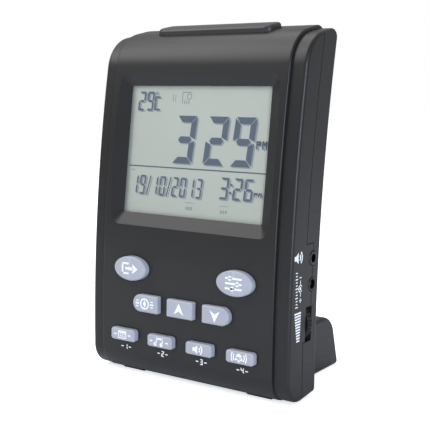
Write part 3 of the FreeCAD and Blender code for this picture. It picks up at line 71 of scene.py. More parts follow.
# Colours, linear
BLACK = (0.0, 0.0, 0.0)
WHITE = (1.0, 1.0, 1.0)
CHARCOAL = (0.0142, 0.0139, 0.0140)
KEY_GREY = (0.385, 0.400, 0.455)
INK = (0.92, 0.93, 0.95)
LCD_GREY = (0.445, 0.468, 0.402)
SEGMENT = (0.058, 0.083, 0.122)
SHADE = (0.235, 0.262, 0.275)
GHOST = (0.400, 0.422, 0.366)
RESIN_BLACK = (0.012, 0.012, 0.012)
SILICONE_GREY = (0.30, 0.30, 0.31)
SLEEVE_BLUE = (0.012, 0.02, 0.09)
GUIDE_WHITE = (0.8, 0.8, 0.78)
PAPER_BLACK = (0.02, 0.02, 0.02)
CELL_BLUE = (0.03, 0.05, 0.11)
PAD_BLACK = (0.018, 0.018, 0.018)
BRIGHT_TIN = (0.72, 0.71, 0.69)
# Tin darkened as painted shade, for the supply pin deep in its socket
PAINTED_SHADE_TIN = (0.10, 0.10, 0.10)
ZINC = (0.55, 0.56, 0.58)
BLACK_STEEL = (0.10, 0.10, 0.11)
WINDOW_TINT = (0.35, 0.37, 0.36)
MASK_DARK = (0.012, 0.105, 0.038)
MASK_LIGHT = (0.016, 0.125, 0.045)
TRACK_GREEN = (0.03, 0.19, 0.075)
FLOOR_WHITE = (0.90, 0.92, 0.96)
COOL_LIGHT = (0.66, 0.78, 1.0)


def face_y(z):
    """Place along Y of the band's front at a height, in millimetres."""
    return CENTRE_Y - math.sqrt(FACE_RADIUS ** 2 - (z - UPRIGHT_Z) ** 2)


def face_matrix(z):
    """Local frame on the band's front, in metres: X right, Y into the clock, Z up along the face."""
    lean = math.asin((z - UPRIGHT_Z) / FACE_RADIUS)
    place = Matrix.Translation(Vector((MIDDLE_X, face_y(z), z)) * MM)
    return place @ Matrix.Rotation(-lean, 4, "X")


def face_sag(u, v):
    """Depth of the curved front behind the plane of a local frame on it."""
    return FACE_RADIUS - math.sqrt(FACE_RADIUS ** 2 - v * v)


def side_matrix():
    """Local frame on the right wall: X to the rear, Y into the clock, Z up, origin at the table's height."""
    place = Matrix.Translation(Vector((MIDDLE_X + BODY_HALF, 0, 0)) * MM)
    return place @ Matrix.Rotation(math.radians(90), 4, "Z")


# Sockets of a colour mix node, by number because several share a name
MIX_FACTOR = 0
MIX_FIRST = 6
MIX_SECOND = 7
MIX_RESULT = 2


def new_material(name):
    """Node material with its tree and its shader."""
    material = bpy.data.materials.new(name)
    material.use_nodes = True
    tree = material.node_tree
    return material, tree, tree.nodes["Principled BSDF"]


def opaque(colour):
    """A colour with full alpha."""
    return (*colour, 1.0)


def scaled(colour, factor):
    """A colour times a factor."""
    return tuple(channel * factor for channel in colour)


def add_node(tree, kind, **values):
    """Shader node with inputs and settings by name."""
    node = tree.nodes.new(kind)
    for key, value in values.items():
        if key in node.inputs:
            node.inputs[key].default_value = value
        else:
            setattr(node, key, value)
    return node


def object_coords(tree):
    """Coordinates that stay with the piece, in metres."""
    return add_node(tree, "ShaderNodeTexCoord").outputs["Object"]


def noise_value(tree, coords, scale, detail):
    """Noise over the piece, about 0 to 1."""
    noise = add_node(tree, "ShaderNodeTexNoise", Scale=scale, Detail=detail)
    tree.links.new(coords, noise.inputs["Vector"])
    return noise.outputs["Fac"]


def ramp(tree, source, stops):
    """Colour ramp from a value output; stops are (position, colour)."""
    node = tree.nodes.new("ShaderNodeValToRGB")
    elements = node.color_ramp.elements
    for position, colour in stops[len(elements):]:
        elements.new(position)
    for element, (position, colour) in zip(elements, stops):
        element.position = position
        element.color = opaque(colour)
    tree.links.new(source, node.inputs["Fac"])
    return node.outputs["Color"]


def vary(tree, value, low, high, socket):
    """Let a value of 0 to 1 drive a shader input between two limits."""
    span = add_node(tree, "ShaderNodeMapRange")
    tree.links.new(value, span.inputs["Value"])
    span.inputs["To Min"].default_value = low
    span.inputs["To Max"].default_value = high
    tree.links.new(span.outputs["Result"], socket)


# Finish of moulded plastic
MOTTLE_SCALE = 45.0
MOTTLE_DETAIL = 3.0
MOTTLE_FROM = 0.3
MOTTLE_TO = 0.7
GRAIN_DETAIL = 2.0
GRAIN_DEPTH = 0.0001
ROUGHNESS_SPREAD = 0.06
EDGE_FROM = 0.52
EDGE_TO = 0.60
EDGE_PALE_FACTOR = 2.2


def worn_tint(tree, tint, colour, edge_paling):
    """Base colour that turns paler on sharp edges."""
    edge = add_node(tree, "ShaderNodeNewGeometry").outputs["Pointiness"]
    share = add_node(tree, "ShaderNodeMath", operation="MULTIPLY")
    sharpness, factor = share.inputs[:2]
    factor.default_value = edge_paling
    tree.links.new(ramp(tree, edge, [(EDGE_FROM, BLACK), (EDGE_TO, WHITE)]), sharpness)
    mix = add_node(tree, "ShaderNodeMix", data_type="RGBA")
    mix.inputs[MIX_SECOND].default_value = opaque(scaled(colour, EDGE_PALE_FACTOR))
    tree.links.new(share.outputs["Value"], mix.inputs[MIX_FACTOR])
    tree.links.new(tint, mix.inputs[MIX_FIRST])
    return mix.outputs[MIX_RESULT]


def moulded(name, colour, roughness, grain=2600.0, bump=0.10, mottle=0.06, edge_paling=0.0, sheen=0.5):
    """Moulded plastic: fine spark-eroded grain, slow mottling, slightly paler sharp edges."""
    material, tree, shader = new_material(name)
    coords = object_coords(tree)
    slow = noise_value(tree, coords, MOTTLE_SCALE, MOTTLE_DETAIL)
    fine = noise_value(tree, coords, grain, GRAIN_DETAIL)
    dark = scaled(colour, 1 - mottle)
    pale = scaled(colour, 1 + mottle)
    tint = ramp(tree, slow, [(MOTTLE_FROM, dark), (MOTTLE_TO, pale)])
    if edge_paling:
        tint = worn_tint(tree, tint, colour, edge_paling)
    tree.links.new(tint, shader.inputs["Base Color"])
    vary(tree, fine, roughness - ROUGHNESS_SPREAD, roughness + ROUGHNESS_SPREAD, shader.inputs["Roughness"])
    relief = add_node(tree, "ShaderNodeBump", Strength=bump, Distance=GRAIN_DEPTH)
    tree.links.new(fine, relief.inputs["Height"])
    tree.links.new(relief.outputs["Normal"], shader.inputs["Normal"])
    shader.inputs["Specular IOR Level"].default_value = sheen
    return material


# Finish of plated metal
SCRATCH_SCALE = 900.0
SCRATCH_DETAIL = 4.0
SCRATCH_STRETCH = (1.0, 8.0, 1.0)
SCRATCH_FROM = 0.3
SCRATCH_TO = 0.7
SCRATCH_TINT = 0.85
METAL_SMOOTHER = 0.05
METAL_ROUGHER = 0.08


def metal(name, colour, roughness):
    """Plated metal with fine drawn scratches."""
    material, tree, shader = new_material(name)
    stretch = add_node(tree, "ShaderNodeMapping")
    stretch.inputs["Scale"].default_value = SCRATCH_STRETCH
    tree.links.new(object_coords(tree), stretch.inputs["Vector"])
    scratches = noise_value(tree, stretch.outputs["Vector"], SCRATCH_SCALE, SCRATCH_DETAIL)
    tint = ramp(tree, scratches, [(SCRATCH_FROM, scaled(colour, SCRATCH_TINT)), (SCRATCH_TO, colour)])
    tree.links.new(tint, shader.inputs["Base Color"])
    shader.inputs["Metallic"].default_value = 1.0
    vary(tree, scratches, roughness - METAL_SMOOTHER, roughness + METAL_ROUGHER, shader.inputs["Roughness"])
    return material


# Finish of printed ink
PRINT_SCALE = 1800.0
PRINT_DETAIL = 2.0
PRINT_THIN_TINT = 0.86
PRINT_FROM = 0.25
PRINT_TO = 0.6
PRINT_ROUGHNESS = 0.6


def printed(name, colour):
    """Screen-printed ink with slightly uneven cover."""
    material, tree, shader = new_material(name)
    cover = noise_value(tree, object_coords(tree), PRINT_SCALE, PRINT_DETAIL)
    tint = ramp(tree, cover, [(PRINT_FROM, scaled(colour, PRINT_THIN_TINT)), (PRINT_TO, colour)])
    tree.links.new(tint, shader.inputs["Base Color"])
    shader.inputs["Roughness"].default_value = PRINT_ROUGHNESS
    return material


# Finish of the clear window
WINDOW_SCALE = 120.0
WINDOW_DETAIL = 2.0
WINDOW_SMOOTHEST = 0.12
WINDOW_ROUGHEST = 0.22
WINDOW_ALPHA = 0.05
ACRYLIC_IOR = 1.49


def clear_window(name):
    """Clear acrylic window, faintly green, that lets the display show."""
    material, tree, shader = new_material(name)
    wipe = noise_value(tree, object_coords(tree), WINDOW_SCALE, WINDOW_DETAIL)
    vary(tree, wipe, WINDOW_SMOOTHEST, WINDOW_ROUGHEST, shader.inputs["Roughness"])
    shader.inputs["Base Color"].default_value = opaque(WINDOW_TINT)
    shader.inputs["Alpha"].default_value = WINDOW_ALPHA
    shader.inputs["IOR"].default_value = ACRYLIC_IOR
    return material


# Finish of the display glass; its painted light runs from darker at the bottom to paler at the top, between
# two heights of the clock, in metres
PAINTED_LIGHT_LOW_Z = 0.072
PAINTED_LIGHT_HIGH_Z = 0.127
PAINTED_LIGHT_MIDDLE = 0.55
PAINTED_SHADE_BOTTOM = 0.97
PAINTED_LIGHT_TOP = 1.04
SPECKLE_SCALE = 5200.0
SPECKLE_DETAIL = 1.0
SPECKLE_FROM = 0.2
SPECKLE_TO = 0.8
SPECKLE_DARK = 0.9
SPECKLE_SHARE = 0.25
LCD_ROUGHNESS = 0.5


def lcd_glass(name):
    """Reflective liquid-crystal background: grey-green, with painted light that makes it darker towards the
    bottom and paler towards the top.
    """
    material, tree, shader = new_material(name)
    coords = object_coords(tree)
    parts = add_node(tree, "ShaderNodeSeparateXYZ")
    tree.links.new(coords, parts.inputs["Vector"])
    painted_light_height = add_node(tree, "ShaderNodeMapRange")
    painted_light_height.inputs["From Min"].default_value = PAINTED_LIGHT_LOW_Z
    painted_light_height.inputs["From Max"].default_value = PAINTED_LIGHT_HIGH_Z
    tree.links.new(parts.outputs["Z"], painted_light_height.inputs["Value"])
    # Painted light: the glass darker at the bottom and paler at the top
    dark = scaled(LCD_GREY, PAINTED_SHADE_BOTTOM)
    pale = scaled(LCD_GREY, PAINTED_LIGHT_TOP)
    painted_light_tone = ramp(tree, painted_light_height.outputs["Result"], [(0.0, dark), (PAINTED_LIGHT_MIDDLE, LCD_GREY), (1.0, pale)])
    noise = noise_value(tree, coords, SPECKLE_SCALE, SPECKLE_DETAIL)
    speckle = ramp(tree, noise, [(SPECKLE_FROM, scaled(WHITE, SPECKLE_DARK)), (SPECKLE_TO, WHITE)])
    mix = add_node(tree, "ShaderNodeMix", data_type="RGBA", blend_type="MULTIPLY")
    mix.inputs[MIX_FACTOR].default_value = SPECKLE_SHARE
    tree.links.new(painted_light_tone, mix.inputs[MIX_FIRST])
    tree.links.new(speckle, mix.inputs[MIX_SECOND])
    tree.links.new(mix.outputs[MIX_RESULT], shader.inputs["Base Color"])
    shader.inputs["Roughness"].default_value = LCD_ROUGHNESS
    return material


# Finish of the circuit boards
TRACK_SCALE = 190.0
TRACK_WIDTH = 0.03
BOARD_ROUGHNESS = 0.35


def board_mask(name):
    """Green solder mask with a faint pattern of tracks."""
    material, tree, shader = new_material(name)
    tracks = add_node(tree, "ShaderNodeTexBrick", Scale=TRACK_SCALE)
    tracks.inputs["Color1"].default_value = opaque(MASK_DARK)
    tracks.inputs["Color2"].default_value = opaque(MASK_LIGHT)
    tracks.inputs["Mortar"].default_value = opaque(TRACK_GREEN)
    tracks.inputs["Mortar Size"].default_value = TRACK_WIDTH
    tree.links.new(object_coords(tree), tracks.inputs["Vector"])
    tree.links.new(tracks.outputs["Color"], shader.inputs["Base Color"])
    shader.inputs["Roughness"].default_value = BOARD_ROUGHNESS
    return material


# Tints of the charcoal, and the materials by the name of their slot
# Painted light: the bar's charcoal made paler, for the top light its face reflects
BAR_PAINTED_LIGHT = 1.9
# Painted shade: the wheel's charcoal made darker, for its face shadowed in the slot
WHEEL_PAINTED_SHADE = 0.55
SOCKET_TINT = 0.25
MATERIALS = {
    "case": moulded("case_plastic", CHARCOAL, roughness=0.37, edge_paling=0.25, sheen=0.36),
    "keys": moulded("key_plastic", KEY_GREY, roughness=0.42, grain=3200.0, bump=0.04, mottle=0.03, edge_paling=0.10),
    "bar": moulded("bar_plastic_painted_light", scaled(CHARCOAL, BAR_PAINTED_LIGHT), roughness=0.37, edge_paling=0.15, sheen=0.40),
    "wheel": moulded("wheel_plastic_painted_shade", scaled(CHARCOAL, WHEEL_PAINTED_SHADE), roughness=0.5, sheen=0.25),
    "socket": moulded("socket_plastic", scaled(CHARCOAL, SOCKET_TINT), roughness=0.22, grain=1200.0,
                      bump=0.02),
    "chip": moulded("chip_resin", RESIN_BLACK, roughness=0.45),
    "silicone": moulded("key_mat_rubber", SILICONE_GREY, roughness=0.7, mottle=0.04),
    "sleeve": moulded("capacitor_sleeve", SLEEVE_BLUE, roughness=0.3),
    "guide": moulded("light_guide_plastic", GUIDE_WHITE, roughness=0.4, mottle=0.02),
    "cone": moulded("speaker_paper", PAPER_BLACK, roughness=0.85, grain=900.0, bump=0.3),
    "cell": moulded("cell_sleeve", CELL_BLUE, roughness=0.3, mottle=0.04),
    "pad": moulded("pad_rubber", PAD_BLACK, roughness=0.85, bump=0.2),
    "tin": metal("plated_tin", BRIGHT_TIN, roughness=0.28),
    "painted_shade_tin": metal("tin_in_painted_shade", PAINTED_SHADE_TIN, roughness=0.5),
    "magnet": metal("zinc_plate", ZINC, roughness=0.4),
    "screw": metal("blackened_steel", BLACK_STEEL, roughness=0.42),
    "window": clear_window("window_acrylic"),
    "lcd": lcd_glass("lcd_background"),
    "board": board_mask("board_mask"),
    "ink": printed("white_ink", INK),
    "segment": printed("lcd_segment", SEGMENT),
    # Painted shadow of the display's figures, in the printed-ink finish; the faint fixed marks use it too
    "shade": printed("lcd_shadow", SHADE),
    "ghost": printed("lcd_ghost", GHOST),
}

# Nodes whose material isn't that of their slot; the supply pin gets tin darkened as painted shade, deep in
# its socket
SPECIAL = {"power_pin": "painted_shade_tin"}


def dress_nodes():
    """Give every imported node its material, by its slot in the record."""
    slots = {part["node"]: part["material_slot"] for part in frame["record"]["subparts"]}
    for name, obj in frame["nodes"].items():
        obj.data.materials.clear()
        obj.data.materials.append(MATERIALS[SPECIAL.get(name, slots[name])])


# Edges sharper than this stay crisp, in degrees; the display recess has shallower edges
CREASE = 24.0
RECESS_CREASE = 16.0
WELD_DISTANCE = 0.000002


def smooth_nodes():
    """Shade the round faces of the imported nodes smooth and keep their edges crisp."""
    for name, obj in frame["nodes"].items():
        for polygon in obj.data.polygons:
            polygon.use_smooth = True
        weld = obj.modifiers.new("weld", "WELD")
        weld.merge_threshold = WELD_DISTANCE
        split = obj.modifiers.new("split", "EDGE_SPLIT")
        split.split_angle = math.radians(RECESS_CREASE if name == "front_shell" else CREASE)
        weighted = obj.modifiers.new("weighted", "WEIGHTED_NORMAL")
        weighted.keep_sharp = True


# Thickness of printed figures, in millimetres; half as much again goes into the surface behind them
PRINT_THICKNESS = 0.06
SEGMENT_THICKNESS = 0.05
SHADOW_THICKNESS = 0.03
GHOST_THICKNESS = 0.015
SUNK_SHARE = 0.5


class Ink:
    """Flat figures drawn in a local plane in millimetres, raised a little as one thin mesh."""

    def __init__(self, name, material, matrix, thickness=PRINT_THICKNESS):
        self.name = name
        self.material = material
        self.matrix = matrix
        self.thickness = thickness
        self.origin = (0.0, 0.0)
        self.outlines = []

    def at(self, u, v):
        """Put the origin of what is drawn next at a place."""
        self.origin = (u, v)
        return self

    def outline(self, points):
        """Closed figure from points about the origin (u right, v up)."""
        self.outlines.append([(self.origin[0] + u, self.origin[1] + v) for u, v in points])

    def bar(self, u0, u1, v0, v1):
        """Rectangle between two corners."""
        self.outline([(u0, v0), (u1, v0), (u1, v1), (u0, v1)])

    def patch(self, u, v, width, height):
        """Rectangle about its middle."""
        self.bar(u - width / 2, u + width / 2, v - height / 2, v + height / 2)

    def stroke(self, start, end, width):
        """Straight stroke with square ends."""
        along = Vector((end[0] - start[0], end[1] - start[1])).normalized()
        across = Vector((-along.y, along.x)) * width / 2
        self.outline([
            (start[0] - across.x, start[1] - across.y), (end[0] - across.x, end[1] - across.y),
            (end[0] + across.x, end[1] + across.y), (start[0] + across.x, start[1] + across.y)])

    def arc(self, centre, radius, width, start, end, steps):
        """Part of a ring between two angles in degrees, in straight steps."""
        angles = [math.radians(start + (end - start) * i / steps) for i in range(steps + 1)]
        outer = [on_circle(centre, radius + width / 2, angle) for angle in angles]
        inner = [on_circle(centre, radius - width / 2, angle) for angle in angles]
        for i in range(steps):
            self.outline([outer[i], outer[i + 1], inner[i + 1], inner[i]])

    def disc(self, centre, radius, steps):
        """Filled round with a number of corners."""
        self.outline([on_circle(centre, radius, math.tau * i / steps) for i in range(steps)])

    def build(self, body, slot, surface=None):
        """Make the mesh; a surface gives each point's depth, and the figures stand off that."""
        mesh = bmesh.new()
        for points in self.outlines:
            front = self.loop(mesh, points, self.thickness, surface)
            back = self.loop(mesh, points, -self.thickness * SUNK_SHARE, surface)
            mesh.faces.new(front)
            mesh.faces.new(list(reversed(back)))
            count = len(front)
            for i in range(count):
                j = (i + 1) % count
                mesh.faces.new([front[j], front[i], back[i], back[j]])
        bmesh.ops.recalc_face_normals(mesh, faces=mesh.faces)
        data = bpy.data.meshes.new(self.name)
        mesh.to_mesh(data)
        mesh.free()
        obj = bpy.data.objects.new(self.name, data)
        bpy.context.scene.collection.objects.link(obj)
        data.materials.append(self.material)
        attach(obj, body)
        return obj

    def loop(self, mesh, points, rise, surface):
        """Corners of one figure at a height above the plane or the surface."""
        corners = []
        for u, v in points:
            depth = surface(u, v) if surface else 0.0
            corners.append(mesh.verts.new(self.matrix @ (Vector((u, depth - rise, v)) * MM)))
        return corners


def on_circle(centre, radius, angle):
    """Point on a circle at an angle in radians."""
    return centre[0] + radius * math.cos(angle), centre[1] + radius * math.sin(angle)


# Seven-segment digits: a on top, then b to f clockwise round the digit, and g across the middle
ALL_SEGMENTS = "abcdefg"
SEGMENTS = {
    "0": "abcdef", "1": "bc", "2": "abged", "3": "abgcd", "4": "fgbc", "5": "afgcd", "6": "afgedc",
    "7": "abc", "8": "abcdefg", "9": "abcdfg", " ": "",
}
SEGMENT_GAP = 0.13
SLANT = 0.085

Style = namedtuple("Style", "width height bar slant")
BIG_STYLE = Style(10.4, 20.2, 2.8, SLANT)
DEGREE_STYLE = Style(3.6, 8.2, 0.85, SLANT)
DATE_STYLE = Style(3.1, 8.3, 0.8, SLANT)
TIME_STYLE = Style(4.2, 9.0, 0.95, SLANT)
KEY_NUMBER_STYLE = Style(1.5, 2.5, 0.48, 0.0)


def segment_outline(letter, style):
    """Outline of one of the seven segments of a digit whose lower left corner is the origin."""
    w, h, t = style.width, style.height, style.bar
    g = t * SEGMENT_GAP
    m = h / 2
    flat = {
        "a": [(g, h), (w - g, h), (w - t, h - t), (t, h - t)],
        "b": [(w, h - g), (w, m + g), (w - t, m + t / 2 + g / 2), (w - t, h - t - g)],
        "c": [(w, m - g), (w, g), (w - t, t + g), (w - t, m - t / 2 - g / 2)],
        "d": [(t, t), (w - t, t), (w - g, 0), (g, 0)],
        "e": [(0, m - g), (t, m - t / 2 - g / 2), (t, t + g), (0, g)],
        "f": [(0, h - g), (t, h - t - g), (t, m + t / 2 + g / 2), (0, m + g)],
        "g": [(g + t / 2, m), (t, m + t / 2), (w - t, m + t / 2),
              (w - g - t / 2, m), (w - t, m - t / 2), (t, m - t / 2)],
    }
    return flat[letter]


def draw_segments(ink, letters, u, v, style):
    """Some segments of one slanted digit whose lower left corner is at a place."""
    for letter in letters:
        ink.outline([(u + x + style.slant * y, v + y) for x, y in segment_outline(letter, style)])


def digit(ink, text, u, v, style):
    """Lit segments of one digit."""
    draw_segments(ink, SEGMENTS[text], u, v, style)


def unlit(ink, text, u, v, style):
    """Unlit segments of one digit."""
    draw_segments(ink, [letter for letter in ALL_SEGMENTS if letter not in SEGMENTS[text]], u, v, style)


# Heights of a colon's dots, as shares of the digits' height
COLON_SHARES = (0.26, 0.62)


def colon(ink, u, v, height, dot, slant):
    """Two square dots between hours and minutes."""
    for share in COLON_SHARES:
        low = height * share
        high = low + dot
        ink.outline([(u + slant * low, v + low), (u + dot + slant * low, v + low),
                     (u + dot + slant * high, v + high), (u + slant * high, v + high)])


# Shares of the afternoon mark's width and height
PM_LINE = 0.13
PM_FIRST_WIDTH = 0.42
PM_SECOND_LEFT = 0.55
PM_BOWL = 0.5
PM_DIP = 0.45


def letters_pm(ink, u, v, height, width):
    """The small afternoon mark beside a time."""
    line = width * PM_LINE
    bowl_right = u + width * PM_FIRST_WIDTH
    bowl_low = v + height * PM_BOWL
    top = v + height
    ink.bar(u, u + line, v, top)
    for low in (top - line, bowl_low):
        ink.bar(u, bowl_right, low, low + line)
    ink.bar(bowl_right - line, bowl_right, bowl_low, top)
    left = u + width * PM_SECOND_LEFT
    right = u + width
    ink.bar(left, left + line, v, top)
    ink.bar(right - line, right, v, top)
    dip = ((left + right) / 2, v + height * PM_DIP)
    ink.stroke((left + line / 2, top), dip, line)
    ink.stroke((right - line / 2, top), dip, line)


# Figures of the display, in millimetres from the middle of the glass; digits by their lower left corner
FIGURES_LIFT = 0.5
SHADOW_SHIFT = (0.85, -0.55)
BIG_V = -5.6
BIG_DIGITS = (("3", -12.5), ("2", 3.6), ("9", 17.0))
UNLIT_DIGIT_U = -25.6
BIG_PM = (29.3, 1.8, 3.4, 5.2)
DEGREE_V = 16.4
DEGREE_DIGITS = (("2", -33.0), ("9", -28.4))
DATE_V = -19.8
DATE_U = -33.4
DATE_TEXT = "19/10/2013"
DATE_PITCH = 4.15
SLASH_PITCH = 2.6
TIME_V = -19.2
TIME_DIGITS = (("3", 12.9), ("2", 19.6), ("6", 24.9))
TIME_PM = (30.1, -17.3, 1.9, 3.6)
COLON_U = 17.9
COLON_DOT = 1.0
DIVIDER_LOW = -7.95
DIVIDER_HIGH = -7.4
DIVIDER_INSET = 0.1


def draw_degree_sign(ink):
    """Degree ring and the angular letter beside the temperature."""
    ring_centre = (-22.9, 23.9)
    ring_radius = 0.55
    ring_line = 0.3
    left, stem_right, arm_left, right = -23.9, -23.1, -23.3, -20.9
    low, stem_high, arm_high, line = 16.6, 22.6, 21.9, 0.7
    ink.arc(ring_centre, ring_radius, ring_line, 0, 360, steps=12)
    ink.bar(left, stem_right, low, stem_high)
    for arm in (low, arm_high):
        ink.bar(arm_left, right, arm, arm + line)


def draw_date(ink):
    """Date with slashes."""
    slash_from = (0.2, DATE_V - 0.2)
    slash_to = (2.1, DATE_V + 8.2)
    slash_line = 0.6
    u = DATE_U
    for text in DATE_TEXT:
        if text == "/":
            ink.stroke((u + slash_from[0], slash_from[1]), (u + slash_to[0], slash_to[1]), slash_line)
            u += SLASH_PITCH
        else:
            digit(ink, text, u, DATE_V, DATE_STYLE)
            u += DATE_PITCH


def draw_figures(ink):
    """All lit figures of the display."""
    for text, u in BIG_DIGITS:
        digit(ink, text, u, BIG_V, BIG_STYLE)
    letters_pm(ink, *BIG_PM)
    for text, u in DEGREE_DIGITS:
        digit(ink, text, u, DEGREE_V, DEGREE_STYLE)
    draw_degree_sign(ink)
    draw_date(ink)
    for text, u in TIME_DIGITS:
        digit(ink, text, u, TIME_V, TIME_STYLE)
    colon(ink, COLON_U, TIME_V, TIME_STYLE.height, COLON_DOT, SLANT)
    letters_pm(ink, *TIME_PM)


def draw_unlit(ink):
    """Unlit segments of the two times, with the empty place before the hours."""
    for text, u in BIG_DIGITS:
        unlit(ink, text, u, BIG_V, BIG_STYLE)
    unlit(ink, " ", UNLIT_DIGIT_U, BIG_V, BIG_STYLE)
    for text, u in TIME_DIGITS:
        unlit(ink, text, u, TIME_V, TIME_STYLE)


def draw_upper_marks(ink):
    """Faint mark in the upper left: a corner with a ring and three dots, and two strokes beside it."""
    left, right = -9.3, -4.2
    low, high = 19.6, 24.6
    line = 0.4
    ring_centre, ring_radius = (-5.6, 22.6), 1.2
    dots, dot_width, dot_low, dot_high = (-8.1, -7.0, -5.9), 0.5, 19.4, 21.0
    strokes, stroke_width, stroke_low, stroke_high = (-14.2, -12.9), 0.35, 20.4, 23.6
    ink.bar(left, left + line, low, high)
    ink.bar(left + line, right, high - line, high)
    ink.arc(ring_centre, ring_radius, line, 0, 360, steps=14)
    for u in dots:
        ink.bar(u, u + dot_width, dot_low, dot_high)
    for u in strokes:
        ink.bar(u, u + stroke_width, stroke_low, stroke_high)


def draw_lower_marks(ink):
    """Plain bars under the lower figures, each over three dots, and one over the date."""
    places, bar_length, bar_line = ((-3.8, -22.0), (13.8, -22.2)), 4.4, 0.3
    dot_from, dot_pitch, dot_width = 0.5, 1.25, 0.85
    dot_drop, dot_height = 1.5, 1.4
    date_left, date_right, date_low, date_high = -34.0, -32.0, -9.6, -9.2
    for u, v in places:
        ink.bar(u, u + bar_length, v, v + bar_line)
        for step in range(3):
            left = u + dot_from + dot_pitch * step
            ink.bar(left, left + dot_width, v - dot_drop - dot_height, v - dot_drop)
    ink.bar(date_left, date_right, date_low, date_high)


def dress_display():
    """Figures on the display glass, with their faint shadows and the unlit segments."""
    behind = (RECESS_DEPTH + LCD_BEHIND_FLOOR) * MM
    matrix = face_matrix(DISPLAY_Z) @ Matrix.Translation((0, behind, FIGURES_LIFT * MM))
    dark = Ink("lcd_figures", MATERIALS["segment"], matrix, SEGMENT_THICKNESS)
    shade = Ink("lcd_shadows", MATERIALS["shade"], matrix, SHADOW_THICKNESS)
    pale = Ink("lcd_ghosts", MATERIALS["ghost"], matrix, GHOST_THICKNESS)
    draw_figures(dark)
    # Painted shadow: offset copies of the figures in the shadow ink; the faint marks drawn next are real and
    # share that ink
    draw_figures(shade.at(*SHADOW_SHIFT))
    shade.at(0.0, 0.0)
    draw_upper_marks(shade)
    draw_lower_marks(shade)
    draw_unlit(pale)
    half = WINDOW_WIDTH / 2 - DIVIDER_INSET
    dark.bar(-half, half, DIVIDER_LOW, DIVIDER_HIGH)
    for ink in (dark, shade, pale):
        ink.build(BODY, "lcd")


def arrowhead(ink, turn):
    """Notched arrowhead, pointing up for a turn of 1 and down for -1."""
    half_width = 2.5
    tail = -2.2 * turn
    tip = 2.7 * turn
    notch = -0.7 * turn
    for side in (-1, 1):
        ink.outline([(side * half_width, tail), (0.0, tip), (0.0, notch)])


def up_mark(ink):
    """Arrowhead pointing up."""
    arrowhead(ink, 1)


def down_mark(ink):
    """Arrowhead pointing down."""
    arrowhead(ink, -1)


def exit_mark(ink):
    """Arrow that leaves an open frame."""
    frame_left, frame_right, frame_half, line = -4.2, -0.4, 2.6, 0.9
    shaft_left, shaft_right, shaft_half = -2.2, 2.4, 0.6
    head_left, head_tip, head_half = 1.7, 4.6, 2.1
    for low in (-frame_half, frame_half - line):
        ink.bar(frame_left, frame_right, low, low + line)
    ink.bar(frame_left, frame_left + line, -frame_half, frame_half)
    ink.bar(shaft_left, shaft_right, -shaft_half, shaft_half)
    ink.outline([(head_left, -head_half), (head_tip, 0.0), (head_left, head_half)])


def set_mark(ink):
    """Three sliders."""
    length, line, knob_radius = 8.0, 0.76, 0.98
    rows_and_knobs = ((2.1, -1.7), (0.0, 1.9), (-2.1, -0.5))
    for row, knob_u in rows_and_knobs:
        ink.patch(0.0, row, length, line)
        ink.disc((knob_u, row), knob_radius, steps=16)


def direction_mark(ink):
    """Compass needle in a ring, between two groups of three short bars."""
    ring_radius, ring_line = 2.1, 0.6
    needle_half, needle_reach = 0.85, 1.6
    group_u, long_bar, long_line = 3.9, 2.0, 0.64
    short_bar, short_line, short_v = 1.2, 0.5, 1.2
    ink.arc((0.0, 0.0), ring_radius, ring_line, 0, 360, steps=28)
    ink.outline([(-needle_half, 0.0), (0.0, -needle_reach), (needle_half, 0.0), (0.0, needle_reach)])
    for side in (-1, 1):
        ink.patch(side * group_u, 0.0, long_bar, long_line)
        for row in (short_v, -short_v):
            ink.patch(side * group_u, row, short_bar, short_line)


def side_bars(ink, reach):
    """Plain bar on each side of a mark."""
    length, line = 1.4, 0.6
    for side in (-1, 1):
        ink.patch(side * reach, 0.0, length, line)


def calendar_mark(ink):
    """Month sheet with its header and days, between two plain bars."""
    half, header, top, bottom = 2.3, 0.8, 1.7, -1.7
    side_line, foot_line = 0.45, 0.4
    day_width, day_height = 0.6, 0.5
    day_lefts, day_lows = (-1.3, -0.3, 0.7), (-0.85, 0.1)
    side_reach = 3.9
    ink.bar(-half, half, header, top)
    for left in (-half, half - side_line):
        ink.bar(left, left + side_line, bottom, header)
    ink.bar(-half, half, bottom, bottom + foot_line)
    for left in day_lefts:
        for low in day_lows:
            ink.bar(left, left + day_width, low, low + day_height)
    side_bars(ink, side_reach)


def melody_mark(ink):
    """Two joined notes, between two plain bars."""
    head_radius, head_v = 0.85, -1.05
    stem_left, stem_right, stem_low, stem_high = 0.35, 0.85, -1.1, 1.6
    beam_low, beam_high = 0.9, 1.75
    notes, side_reach = (-1.9, 1.3), 4.2
    for u in notes:
        ink.disc((u, head_v), head_radius, steps=16)
        ink.bar(u + stem_left, u + stem_right, stem_low, stem_high)
    ink.bar(notes[0] + stem_left, notes[1] + stem_right, beam_low, beam_high)
    side_bars(ink, side_reach)


def sound_mark(ink, scale=1.0):
    """Speaker with two waves."""
    rear, neck, mouth = -2.6 * scale, -1.5 * scale, -0.2 * scale
    magnet_half, mouth_half = 0.75 * scale, 1.8 * scale
    wave_centre, wave_line, wave_spread = (-0.1 * scale, 0.0), 0.55 * scale, 50
    wave_radii = (1.15 * scale, 2.25 * scale)
    ink.outline([(rear, -magnet_half), (neck, -magnet_half), (mouth, -mouth_half),
                 (mouth, mouth_half), (neck, magnet_half), (rear, magnet_half)])
    for radius in wave_radii:
        ink.arc(wave_centre, radius, wave_line, -wave_spread, wave_spread, steps=10)


